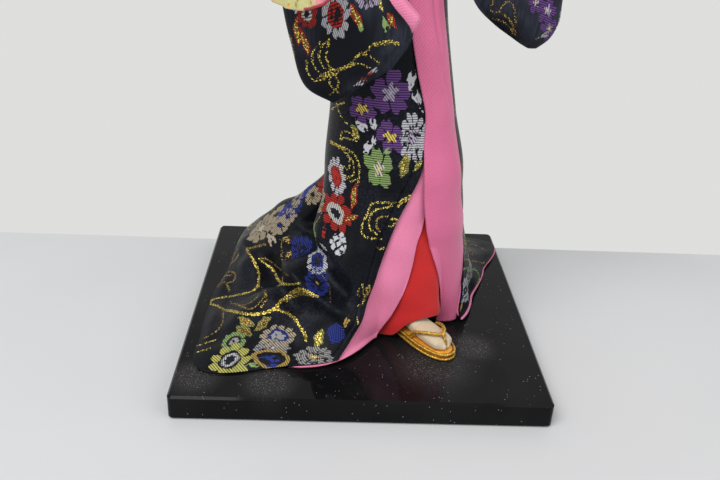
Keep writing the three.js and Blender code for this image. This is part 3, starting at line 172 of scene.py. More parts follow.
def make(name, shape, body, slot, replaced, look, facts=None):
    """One piece from points in millimetres and rows of corner numbers."""
    mesh = bpy.data.meshes.new(name)
    points = np.asarray(shape[0], np.float32) * MM
    corners = np.concatenate([group.ravel() for group in shape[1]]).astype(np.int32)
    sizes = np.concatenate([np.full(len(group), group.shape[1]) for group in shape[1]])
    mesh.vertices.add(len(points))
    mesh.vertices.foreach_set("co", points.ravel())
    mesh.loops.add(len(corners))
    mesh.loops.foreach_set("vertex_index", corners)
    mesh.polygons.add(len(sizes))
    mesh.polygons.foreach_set("loop_start", np.append(0, np.cumsum(sizes)[:-1]).astype(np.int32))
    mesh.update(calc_edges=True)
    mesh.validate()
    for key, values in (facts or {}).items():
        give(mesh, key, values)
    made = bpy.data.objects.new(name, mesh)
    bpy.context.scene.collection.objects.link(made)
    return finished(made, body, slot, replaced, look)


def finished(made, body, slot, replaced, look):
    """A smooth piece with its body, look and the CAD nodes that it stands for; its slot is not
    used.
    """
    faces = made.data.polygons
    faces.foreach_set("use_smooth", np.ones(len(faces), bool))
    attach(made, body)
    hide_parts(*replaced)
    look.on(made)
    return made


def give(mesh, key, values):
    """One value or one colour a point."""
    values = np.asarray(values, np.float32)
    kind, field = ("FLOAT", "value") if values.ndim == 1 else ("FLOAT_COLOR", "color")
    if values.ndim > 1:
        values = np.concatenate([values, np.ones((len(values), 1), np.float32)], 1)
    mesh.attributes.new(key, kind, "POINT").data.foreach_set(field, values.ravel())


def quads(rows, columns, round_it=False, start=0):
    n = columns if round_it else columns - 1
    i, j = np.meshgrid(np.arange(n), np.arange(rows - 1))
    i, j = i.ravel(), j.ravel()
    k = (i + 1) % columns
    return start + np.stack([j * columns + i, j * columns + k, (j + 1) * columns + k,
                             (j + 1) * columns + i], 1)


def signed_volume(points, faces):
    total = 0.0
    for group in faces:
        p = points[group]
        for k in range(1, group.shape[1] - 1):
            total += np.einsum("ij,ij->i", p[:, 0], np.cross(p[:, k], p[:, k + 1])).sum()
    return total


def outwards(points, faces):
    return [g[:, ::-1] for g in faces] if signed_volume(points, faces) < 0 else faces


def closed_sheet(outer, inner, round_it=False):
    """Points and faces of a sheet between two grids of points, closed at its edges."""
    rows, columns = outer.shape[:2]
    points = np.concatenate([outer.reshape(-1, 3), inner.reshape(-1, 3)])
    back = rows * columns
    faces = [quads(rows, columns, round_it), quads(rows, columns, round_it, back)[:, ::-1]]
    number = np.arange(back).reshape(rows, columns)
    edges = [(number[0], True), (number[-1], False)]
    if not round_it:
        edges += [(number[:, 0], False), (number[:, -1], True)]
    for line, turned in edges:
        if round_it:
            line = np.append(line, line[0])
        strip = np.stack([line[:-1], line[1:], line[1:] + back, line[:-1] + back], 1)
        faces.append(strip[:, ::-1] if turned else strip)
    return points, outwards(points, [np.concatenate(faces)])


def lofted(rings):
    """Points and faces of a closed solid through rows of points, fanned shut at both ends."""
    rows, columns = rings.shape[:2]
    low, last = rows * columns, (rows - 1) * columns
    around = np.arange(columns)
    after = (around + 1) % columns
    points = np.concatenate([rings.reshape(-1, 3), rings[0].mean(0)[None], rings[-1].mean(0)[None]])
    fans = [np.stack([after, around, np.full(columns, low)], 1),
            np.stack([last + around, last + after, np.full(columns, low + 1)], 1)]
    return points, outwards(points, [quads(rows, columns, True), *fans])


def tube(path, radius, sides=16, closed=False, twist=0.0, lobes=0, lobe_depth=0.0):
    """A round bar along points; with lobes it is a laid cord."""
    path = np.asarray(path, float)
    n = len(path)
    steps = np.roll(path, -1, 0) - np.roll(path, 1, 0) if closed else np.gradient(path, axis=0)
    along = unit(steps)
    first = np.cross([0, 0, 1.0], along[0])
    if np.linalg.norm(first) < 0.1:
        first = np.cross([0, 1.0, 0], along[0])
    across = np.zeros_like(path)
    across[0] = unit(first)
    for i in range(1, n):
        across[i] = unit(across[i - 1] - along[i] * (across[i - 1] @ along[i]))
    other = np.cross(along, across)
    slip = math.atan2(across[0] @ other[-1], across[0] @ across[-1]) if closed else 0.0
    a = round_turn(sides)
    r = np.broadcast_to(np.asarray(radius, float), (n,))[:, None] * np.ones(sides)
    if lobes:
        reach = np.append(0, np.cumsum(np.linalg.norm(np.diff(path, axis=0), axis=1)))
        if closed:
            total = reach[-1] + np.linalg.norm(path[0] - path[-1])
            twist = round(twist * total) / total
        turn = a + 2 * math.pi * twist * reach[:, None]
        r = r * (1 - lobe_depth + lobe_depth * np.abs(np.cos(lobes * turn / 2)) ** 0.7)
    turned = a + np.linspace(0, slip, n)[:, None]
    rings = (path[:, None] + across[:, None] * (r * np.cos(turned))[..., None]
             + other[:, None] * (r * np.sin(turned))[..., None])
    if not closed:
        return lofted(rings)
    last, s = (n - 1) * sides, np.arange(sides)
    k = (s + 1) % sides
    points = rings.reshape(-1, 3)
    faces = np.concatenate([quads(n, sides, True), np.stack([last + s, last + k, k, s], 1)])
    return points, outwards(points, [faces])


def join(*parts):
    points, faces, base = [], {}, 0
    for p, groups in parts:
        points.append(p)
        for g in groups:
            faces.setdefault(g.shape[1], []).append(g + base)
        base += len(p)
    return np.concatenate(points), [np.concatenate(g) for g in faces.values()]


def ellipsoid(centre, radii, rows=24, columns=36):
    t = np.linspace(0.04, math.pi - 0.04, rows)[:, None]
    s = round_turn(columns)[None]
    p = point(np.sin(t) * np.cos(s), np.sin(t) * np.sin(s), np.cos(t) * np.ones_like(s))
    return lofted(p * np.asarray(radii) + np.asarray(centre))


def spline(points, count, closed=False):
    """A curve through points, evenly spaced along its length."""
    p = np.asarray(points, float)
    if closed:
        p = np.concatenate([p[-2:], p, p[:3]])
    else:
        p = np.concatenate([[2 * p[0] - p[1]], p, [2 * p[-1] - p[-2]]])
    out = []
    span = range(2, len(p) - 3) if closed else range(1, len(p) - 2)
    for i in span:
        t = np.linspace(0, 1, 24, endpoint=False)[:, None]
        a, b, c, d = p[i - 1], p[i], p[i + 1], p[i + 2]
        out.append(0.5 * (2 * b + (c - a) * t + (2 * a - 5 * b + 4 * c - d) * t ** 2
                          + (3 * b - a - 3 * c + d) * t ** 3))
    out = np.concatenate(out + ([] if closed else [p[-2][None]]))
    if closed:
        out = np.concatenate([out, out[:1]])
    reach = np.concatenate([[0], np.cumsum(np.linalg.norm(np.diff(out, axis=0), axis=1))])
    want = np.linspace(0, reach[-1], count, endpoint=not closed)
    return np.stack([np.interp(want, reach, out[:, k]) for k in range(3)], 1)


def arc_lengths(grid):
    """How far each point of a grid lies along its row, and along its column, in mm."""
    across = np.linalg.norm(np.diff(grid, axis=1), axis=2).cumsum(1)
    down = np.linalg.norm(np.diff(grid, axis=0), axis=2).cumsum(0)
    return np.pad(across, ((0, 0), (1, 0))), np.pad(down, ((1, 0), (0, 0)))


LEAST_FLAT = 10.2       # no flat length under 10 mm is worked out
LEAST_SHARE = 0.31      # and no area under three tenths of that rectangle


def declare_sheet(grid):
    """Works out a sheet's flat size over its outer face, and keeps none of it."""
    across, down = arc_lengths(grid)
    area = 0.5 * np.linalg.norm(np.cross(grid[:-1, :-1] - grid[1:, 1:],
                                         grid[:-1, 1:] - grid[1:, :-1]), axis=2).sum()
    length = max(down[-1].max(), LEAST_FLAT)
    width = max(across[:, -1].max(), 1.01 * area / length)
    area = max(area, LEAST_SHARE * width * length)


def sheet_piece(name, outer, inner, slot, replaced, look, facts=None,
                round_it=False):
    """A sheet of the figure's cloth between two grids of points."""
    made = make(name, closed_sheet(outer, inner, round_it), "figure", slot, replaced, look, facts)
    declare_sheet(outer)


# Camera: the view of the photograph, and where a point of the cloth shows in it.

FOCAL_PX = 773.18
WIDE_PX, MIDDLE_X, MIDDLE_Y = 720, 360, 240
SENSOR = 36
CAMERA_AT = np.array([-13.45, -290.39, 186.75])
AZIMUTH, ELEVATION, ROLL = np.radians([-2.47, 26.89, 2.96])
BACK = np.array([math.sin(AZIMUTH) * math.cos(ELEVATION),
                 -math.cos(AZIMUTH) * math.cos(ELEVATION), math.sin(ELEVATION)])
LEVEL = np.array([math.cos(AZIMUTH), math.sin(AZIMUTH), 0.0])
RIGHT = math.cos(ROLL) * LEVEL + math.sin(ROLL) * np.cross(BACK, LEVEL)
UP = -math.sin(ROLL) * LEVEL + math.cos(ROLL) * np.cross(BACK, LEVEL)

camera = bpy.data.objects.new("camera", bpy.data.cameras.new("camera"))
camera.data.sensor_width = SENSOR
camera.data.lens = FOCAL_PX / WIDE_PX * SENSOR
camera.data.clip_start = 0.01
camera.matrix_world = Matrix([(*row, at * MM) for *row, at in zip(RIGHT, UP, BACK, CAMERA_AT)]
                             + [(0, 0, 0, 1)])
bpy.context.scene.collection.objects.link(camera)
bpy.context.scene.camera = camera


def pictured(points):
    """Picture coordinates, and distance from the camera, of points in millimetres."""
    q = points - CAMERA_AT
    depth = -(q @ BACK)
    scale = FOCAL_PX / np.where(depth > 1, depth, 1)
    return MIDDLE_X + scale * (q @ RIGHT), MIDDLE_Y - scale * (q @ UP), depth


def on_table(px, py):
    """The point of the table that shows at a place in the picture."""
    ray = (px - MIDDLE_X) / FOCAL_PX * RIGHT - (py - MIDDLE_Y) / FOCAL_PX * UP - BACK
    return CAMERA_AT - ray * CAMERA_AT[2] / ray[2]


# Materials.

class Nodes:
    """A tree of shader nodes, written as expressions."""

    def __init__(self, tree):
        self.tree = tree

    def feed(self, socket, value):
        if isinstance(value, bpy.types.NodeSocket):
            self.tree.links.new(value, socket)
        elif isinstance(value, (tuple, list)) and len(socket.default_value) == 4:
            socket.default_value = (*value[:3], 1)
        else:
            socket.default_value = value

    def node(self, kind, inputs=(), out=0, **options):
        made = self.tree.nodes.new("ShaderNode" + kind)
        for key, value in options.items():
            setattr(made, key, value)
        for key, value in dict(inputs).items():
            self.feed(made.inputs[key], value)
        return made.outputs[out]

    def math(self, operation, *values):
        return self.node("Math", enumerate(values), operation=operation)

    def times(self, a, b):
        return self.math("MULTIPLY", a, b)

    def plus(self, a, b):
        return self.math("ADD", a, b)

    def times_plus(self, a, b, c):
        return self.math("MULTIPLY_ADD", a, b, c)

    def most(self, a, b):
        return self.math("MAXIMUM", a, b)

    def mix(self, share, a, b):
        return self.node("Mix", {0: share, 6: a, 7: b}, 2, data_type="RGBA")

    def between(self, share, a, b):
        return self.node("Mix", {0: share, 2: a, 3: b})

    def scaled(self, colour, light):
        return self.node("VectorMath", {0: colour, "Scale": light}, operation="SCALE")

    def fact(self, name):
        return self.node("Attribute", attribute_name=name, out=2)

    def paint(self, name):
        return self.node("Attribute", attribute_name=name, out=0)

    def place(self, stretch=(1, 1, 1)):
        """The place on the object, in millimetres, stretched."""
        return self.node("Mapping", {"Vector": self.node("TexCoord", out=3),
                                     "Scale": tuple(1000.0 * s for s in stretch)})

    def noise(self, size, detail=2.0, stretch=(1, 1, 1)):
        return self.node("TexNoise", {"Vector": self.place(stretch), "Scale": 1.0 / size,
                                      "Detail": detail})

    def cells(self, size):
        return self.node("TexVoronoi", {"Vector": self.place(), "Scale": 1.0 / size})

    def ramp(self, value, low, high, to_low=0.0, to_high=1.0):
        return self.node("MapRange", {"Value": value, "From Min": low, "From Max": high,
                                      "To Min": to_low, "To Max": to_high},
                         interpolation_type="SMOOTHSTEP")

    def fall(self, value, low, high):
        return self.ramp(value, low, high, 1.0, 0.0)

    def thread(self, coordinate, pitch):
        """A wave from 0 to 1 along a coordinate, one a thread."""
        turned = self.times(coordinate, 2 * math.pi / pitch)
        return self.times_plus(self.math("SINE", turned), 0.5, 0.5)


class Look(Nodes):
    """A material round one Principled shader."""

    def __init__(self, name):
        self.material = bpy.data.materials.new(name)
        self.material.use_nodes = True
        super().__init__(self.material.node_tree)
        self.shader = self.tree.nodes["Principled BSDF"]

    def set(self, **values):
        for key, value in values.items():
            self.feed(self.shader.inputs[key.replace("_", " ")], value)

    def bump(self, height, distance, strength):
        self.set(Normal=self.node("Bump", {"Height": height, "Distance": distance * MM,
                                           "Strength": strength}))
        return self

    def on(self, *objects):
        for each in objects:
            each = nodes[each] if isinstance(each, str) else each
            each.data.materials.clear()
            each.data.materials.append(self.material)


def brocade_look(name, ground, painted_sheen, sheen_in_streaks=False):
    """Satin ground with woven figures: each layer is a distance field and its colours. The ground
    is mixed in clouds, or in upright streaks, with a lighter tone that is painted sheen.
    """
    look = Look(name)
    floats = 0.9    # from one floating thread to the next, in millimetres
    along, across = look.fact("warp"), look.fact("weft")
    fine = look.noise(0.28, 2.0)
    # Painted sheen: the lighter tone comes through where the noise is high, in upright streaks on
    # the sleeves.
    if sheen_in_streaks:
        share = look.times(look.ramp(look.noise(1.3, 3.0, (1, 1, 0.06)), 0.3, 0.7, 0.35, 1.0),
                           look.ramp(look.noise(26.0, 1.0), 0.42, 0.6))
    else:
        share = look.times(look.ramp(look.noise(0.9, 3.0), 0.3, 0.75),
                           look.ramp(look.noise(19.0, 1.0), 0.44, 0.62, 0.3, 1.0))
    colour = look.mix(share, ground, painted_sheen)
    step = look.node("CombineXYZ", {"X": look.math("FLOOR", look.math("DIVIDE", across, floats)),
                                    "Y": look.math("FLOOR", look.math("DIVIDE", along, 1.7))})
    jagged = look.plus(look.times_plus(fine, 0.3, -0.36),
                       look.times(look.node("TexWhiteNoise", {"Vector": step}), 0.42))
    slip = look.times(fine, 0.12)
    strands = look.thread(look.plus(across, slip), floats)
    slanted = look.thread(look.plus(look.times_plus(along, 0.8, slip), look.times(across, 0.6)),
                          floats)
    streak = look.ramp(look.noise(0.5, 3.0, (1, 1, 3)), 0.2, 0.8, 0.82, 1.08)
    shaded = [look.times(look.ramp(each, 0.12, 0.5, 0.16, 1.0), streak)
              for each in (strands, slanted)]
    # Gilt thread is brightened in the middles of its beads and darkened at their rims: painted
    # glints and painted shade.
    beads = look.cells(0.58)
    gilt_glint_and_shade, gilt_edge = look.ramp(beads, 0.14, 0.5, 1.9, 0.2), look.times_plus(beads, 0.6, -0.2)
    raised = 0.0
    for k, (light, edge, low, high) in enumerate((
            (shaded[0], jagged, -0.05, 0.09), (shaded[1], jagged, -0.05, 0.09),
            (streak, jagged, -0.05, 0.09), (gilt_glint_and_shade, gilt_edge, -0.06, 0.1))):
        inside = look.fall(look.plus(look.fact(f"d{k}"), edge), low, high)
        colour = look.mix(inside, colour, look.scaled(look.paint(f"c{k}"), light))
        raised = look.most(raised, inside)
    look.set(Base_Color=colour, Metallic=look.times(inside, 0.75),
             Roughness=look.between(raised, 0.34, 0.5), Specular_IOR_Level=0.09,
             Sheen_Weight=0.015, Sheen_Roughness=0.3, Sheen_Tint=(0.5, 0.6, 0.9, 1))
    weave = look.times(look.thread(along, 0.34), look.thread(across, 0.42))
    height = look.times_plus(raised, 0.9, look.times(weave, 0.5))
    return look.bump(look.plus(height, look.times(fine, 0.35)), 0.09, 0.7)


def satin_look(name, colour, dark, pitch=0.98):
    """Plain satin with the diagonal ribs of its twill."""
    look = Look(name)
    slant = look.plus(look.times(look.fact("warp"), 0.72), look.times(look.fact("weft"), 0.7))
    rib = look.thread(look.plus(slant, look.times(look.noise(3.0, 2.0), 0.25)), pitch)
    fine = look.noise(0.35, 2.0)
    share = look.times_plus(rib, 0.38, look.times(fine, 0.5))
    share = look.times_plus(look.noise(9.0, 3.0), 0.35, look.math("SUBTRACT", share, 0.2))
    look.set(Base_Color=look.mix(share, colour, dark), Roughness=0.44,
             Sheen_Weight=0.3, Sheen_Roughness=0.35, Sheen_Tint=(1.0, 0.75, 0.88, 1),
             Specular_IOR_Level=0.4)
    return look.bump(look.times_plus(rib, 0.55, look.times(fine, 0.8)), 0.1, 0.7)


def crepe_look(name, colour, dark, grain=0.45, rough=0.72):
    """Dull crinkled cloth."""
    look = Look(name)
    fine = look.noise(grain, 3.0)
    share = look.times_plus(fine, 0.55, look.times(look.noise(7.0, 2.0), 0.35))
    look.set(Base_Color=look.mix(share, colour, dark), Roughness=rough,
             Sheen_Weight=0.2, Sheen_Roughness=0.5, Specular_IOR_Level=0.3)
    return look.bump(fine, 0.14, 0.7)


def gilt_look(name, colour, dark, grain, metal, rough=0.32):
    """Gilt with a beaded grain: bright cell middles are painted glints and dark cell rims painted
    shade between beads.
    """
    look = Look(name)
    fine, cloud = look.cells(grain), look.noise(2.5, 2.0)
    # Painted glints in the middles of the cells and painted shade at their rims.
    share = look.times_plus(look.ramp(fine, 0.22, 0.55), 0.85, look.times(cloud, 0.15))
    look.set(Base_Color=look.mix(share, colour, dark), Metallic=metal,
             Roughness=look.ramp(cloud, 0.2, 0.8, rough, rough + 0.12))
    return look.bump(fine, 0.08, 0.5)


def hair_look(name):
    """Fine dark strands in broader locks."""
    look = Look(name)
    strand = look.plus(look.fact("strand"), look.times(look.noise(2.2, 2.0), 0.5))
    line = look.thread(strand, 0.33)
    broad = look.thread(look.plus(strand, look.times(look.noise(4.0), 1.3)), 1.7)
    share = look.times_plus(line, 0.55, look.times(broad, 0.45))
    look.set(Base_Color=look.mix(share, (0.004, 0.004, 0.005), (0.014, 0.013, 0.013)),
             Roughness=look.ramp(share, 0.0, 1.0, 0.42, 0.3), Specular_IOR_Level=0.3)
    return look.bump(share, 0.16, 0.9)


def lacquer_look(name):
    """Black lacquer with specks of dust and, round some spots, a film and grit."""
    look = Look(name)
    near = 0.0
    for spot, reach in (((28, -46, 10), 23), ((-34, -60, 10), 13), ((44, -34, 10), 13),
                        ((-62, -58, 10), 13)):
        away = look.node("VectorMath", {0: look.place(), 1: spot}, out=1, operation="DISTANCE")
        near = look.most(near, look.fall(away, 4, reach))
    cell = look.node("VectorMath", {0: look.place((0.7, 0.7, 0.7))}, operation="FLOOR")
    picked = look.math("GREATER_THAN", look.node("TexWhiteNoise", {"Vector": cell}), 0.72)
    speck = look.times(look.fall(look.cells(1.5), 0.07, 0.13), picked)
    grit = look.times(look.fall(look.cells(0.75), 0.1, 0.2),
                      look.ramp(look.times(near, look.noise(3.0, 3.0)), 0.2, 0.55))
    speck = look.most(speck, grit)
    drift = look.ramp(look.noise(0.5, 4.0), 0.5, 0.75)
    film = look.times(near, look.times_plus(drift, 0.75, 0.2))
    haze = look.ramp(look.noise(26.0, 4.0), 0.35, 0.75)
    colour = look.mix(haze, (0.0045, 0.0045, 0.005), (0.0085, 0.0085, 0.009))
    colour = look.mix(look.times(film, 0.24), colour, (0.36, 0.33, 0.33))
    colour = look.mix(look.times(speck, 0.7), colour, (0.5, 0.5, 0.5))
    look.set(Base_Color=colour, Specular_IOR_Level=0.09,
             Roughness=look.most(look.ramp(haze, 0, 1, 0.05, 0.1),
                                 look.times(look.most(film, speck), 0.8)))
    return look.bump(look.times_plus(look.noise(12.0), 0.5, look.times(speck, 0.3)), 0.05, 0.2)


def plain_look(name, colour, dark, size, rough, metal, depth, stretch=(1, 1, 1)):
    """One colour, mottled by another."""
    look = Look(name)
    fine = look.noise(size, 4.0, stretch)
    look.set(Base_Color=look.mix(look.ramp(fine, 0.3, 0.75), colour, dark), Metallic=metal,
             Roughness=look.ramp(fine, 0.2, 0.8, rough - 0.05, rough + 0.08))
    return look.bump(fine, depth, 0.6)


# The second colour of each brocade is the painted sheen of its satin ground.
BLACK_GROUND, BLACK_SHEEN = (0.0032, 0.0036, 0.005), (0.014, 0.016, 0.026)
black_brocade = brocade_look("black_brocade", BLACK_GROUND, BLACK_SHEEN)
sleeve_brocade = brocade_look("sleeve_brocade", (0.007, 0.008, 0.012), (0.034, 0.038, 0.056),
                              sheen_in_streaks=True)
red_brocade = brocade_look("red_brocade", (0.3, 0.008, 0.012), (0.42, 0.015, 0.02))
pink_satin = satin_look("pink_satin", (0.78, 0.185, 0.36), (0.55, 0.09, 0.2))
lining_satin = satin_look("lining_satin", (0.84, 0.26, 0.44), (0.68, 0.155, 0.29), 0.7)
red_crepe = crepe_look("red_crepe", (0.62, 0.016, 0.016), (0.42, 0.008, 0.01))
# Gold cord: its bright tone carries the painted glints of the beads, its dark tone the painted
# shade between them.
gold_cord = gilt_look("gold_cord", (1.0, 0.72, 0.15), (0.42, 0.21, 0.016), 0.62, 0.55)
gold_leather = plain_look("gold_leather", (0.88, 0.42, 0.05), (0.7, 0.29, 0.025), 1.4, 0.36,
                          0.35, 0.04)
white_silk = crepe_look("white_silk", (0.86, 0.84, 0.8), (0.72, 0.7, 0.66), 0.4, 0.55)
tabi_cotton = crepe_look("tabi_cotton", (0.66, 0.55, 0.39), (0.54, 0.43, 0.28), 0.5, 0.62)
black_hair = hair_look("black_hair")
steel = plain_look("steel_wire", (0.5, 0.5, 0.52), (0.38, 0.38, 0.4), 1.0, 0.35, 1.0, 0.02)
straw = plain_look("straw_core", (0.55, 0.42, 0.2), (0.32, 0.22, 0.09), 0.8, 0.8, 0.0, 0.3,
                   (1, 1, 0.08))
wadding = crepe_look("wadding", (0.85, 0.83, 0.78), (0.68, 0.66, 0.62), 1.2, 0.9)
lacquer = lacquer_look("black_lacquer")
fan_lacquer = plain_look("fan_lacquer", (0.2, 0.012, 0.01), (0.1, 0.005, 0.005), 2.0, 0.25, 0.0,
                         0.02, (1, 1, 0.2))
gilt = gilt_look("gilt_metal", (0.74, 0.48, 0.14), (0.56, 0.33, 0.07), 0.8, 1.0, 0.34)
coral = plain_look("coral_bead", (0.62, 0.05, 0.03), (0.48, 0.03, 0.02), 1.5, 0.2, 0.0, 0.02)


# Woven figures, laid on a grid of cloth as four layers of signed distance and colour.

WHITE, CREAM, LILAC = (0.57, 0.57, 0.61), (0.6, 0.55, 0.43), (0.46, 0.4, 0.52)
RED, GREEN, PURPLE = (0.4, 0.03, 0.025), (0.25, 0.37, 0.13), (0.15, 0.065, 0.24)
BLUE, TAN, OLIVE = (0.022, 0.036, 0.22), (0.41, 0.34, 0.24), (0.24, 0.25, 0.08)
GOLD, DARK, GREY = (0.8, 0.6, 0.13), (0.012, 0.012, 0.016), (0.3, 0.29, 0.28)
LIME, BRONZE = (0.48, 0.46, 0.12), (0.42, 0.28, 0.08)


def petals_at(x, y, count, deep=0.35, notch=0.1, gap=0.05, size=1.0):
    r = np.hypot(x, y) / size
    lobe = np.abs(np.cos(count * np.arctan2(y, x) / 2))
    rim = 1 - deep * (1 - lobe ** 0.8) - notch * smooth((lobe - 0.9) / 0.1)
    return np.maximum(r - rim, gap - r * lobe * 2 / count) * size


def blossom(x, y, a, b, c):
    """Five notched petals with a star in the middle."""
    turn = np.arctan2(y, x)
    star = np.hypot(x, y) - 0.42 * (0.45 + 0.55 * np.abs(np.cos(2.5 * turn)) ** 2)
    return [(0, petals_at(x, y, 5, 0.42, 0.12, 0.035), a), (1, star, b),
            (2, np.hypot(x, y) - 0.07, c)]


def daisy(x, y, a, b, c):
    """Many jagged petals, a ring and a pale heart with dark stamens."""
    r = np.hypot(x, y)
    turn = np.arctan2(y, x)
    stamens = np.maximum(r - 0.3 * (0.55 + 0.45 * np.abs(np.sin(3.5 * turn))), 0.04 - r)
    return [(0, petals_at(x, y, 9, 0.3, 0.02, 0.03), a), (1, r - 0.52, b),
            (1, r - 0.38, c), (2, np.minimum(stamens, r - 0.1), DARK)]


def ringed(x, y, a, b, c):
    """Jagged petals round an open oval ring."""
    r = np.hypot(x, y)
    return [(0, petals_at(x, y, 11, 0.22, 0.03, 0.035), a), (1, r - 0.56, b),
            (2, petals_at(x, y, 7, 0.4, 0.0, 0.03, 0.4), c)]


def mum(x, y, a, b, c):
    """A chrysanthemum of narrow petals in two rows."""
    r = np.hypot(x, y)
    back = np.maximum(petals_at(x, y, 13, 0.2, 0.0, 0.035), 0.025 - np.abs(r - 0.6))
    return [(0, back, a), (1, petals_at(x, y, 7, 0.3, 0, 0.04, 0.34), b), (2, r - 0.1, c)]


def aster(x, y, a, b):
    """Broad round petals about a small heart."""
    return [(0, petals_at(x, y, 9, 0.26, 0.05, 0.03), a),
            (1, petals_at(x, y, 5, 0.4, 0, 0.03, 0.26), b)]


def leaf(x, y, a, b):
    """An almond with a bright middle."""
    half = 0.34 * (1 - x * x) + 0.02
    return [(0, np.maximum(np.abs(y) - half, np.abs(x) - 1) * 0.8, a),
            (3, np.maximum(np.abs(y) - half + 0.11, np.abs(x) - 0.86) * 0.8, b)]


def petal(x, y, a):
    """One petal with a short slit."""
    half = 0.42 * arch(x) * (1 + 0.35 * x)
    return [(2, np.maximum(np.abs(y) - half, 0.03 - np.abs(y) + 0.2 * (x > 0.3)) * 0.8, a)]


def gridded(x, y, a):
    """A pale oval crossed by dark lines."""
    lines = np.minimum(np.abs(np.mod(x + 0.6 * y, 0.62) - 0.31),
                       np.abs(np.mod(x * 0.5 - y, 0.62) - 0.31))
    return [(2, np.maximum(np.hypot(x / 0.75, y) - 1, 0.08 - lines) * 0.8, a)]


def oval(x, y, a, b):
    """A bordered oval."""
    r = np.hypot(x, y / 0.7)
    return [(0, r - 1, a), (1, r - 0.74, b)]


def swirl(x, y, a):
    """Streams: nested arcs that run out to one side."""
    r = np.hypot(x, y)
    turn = np.arctan2(y, x)
    lines = np.full(x.shape, FAR)
    for k, size in enumerate((0.28, 0.5, 0.72)):
        arc = np.abs(r - size) - 0.035
        lines = np.minimum(lines, np.where(np.abs(turn) < 2.3 - 0.25 * k, arc, FAR))
        tail = np.abs(y + size + 0.12 * np.sin(3 * x)) - 0.035
        lines = np.minimum(lines, np.where((x < 0.1) & (x > -1.3), tail, FAR))
    return [(3, lines, a)]


FIGURES = {f.__name__: f for f in (blossom, daisy, ringed, mum, aster, leaf, petal, gridded, oval,
                                   swirl)}
LAYERS = 4          # three of floating thread and one of gilt
FAR = 9.0           # the distance, in millimetres, of what isn't woven yet
LINE_WIDTH = 1.5    # how much wider the gilt thread is woven than its line


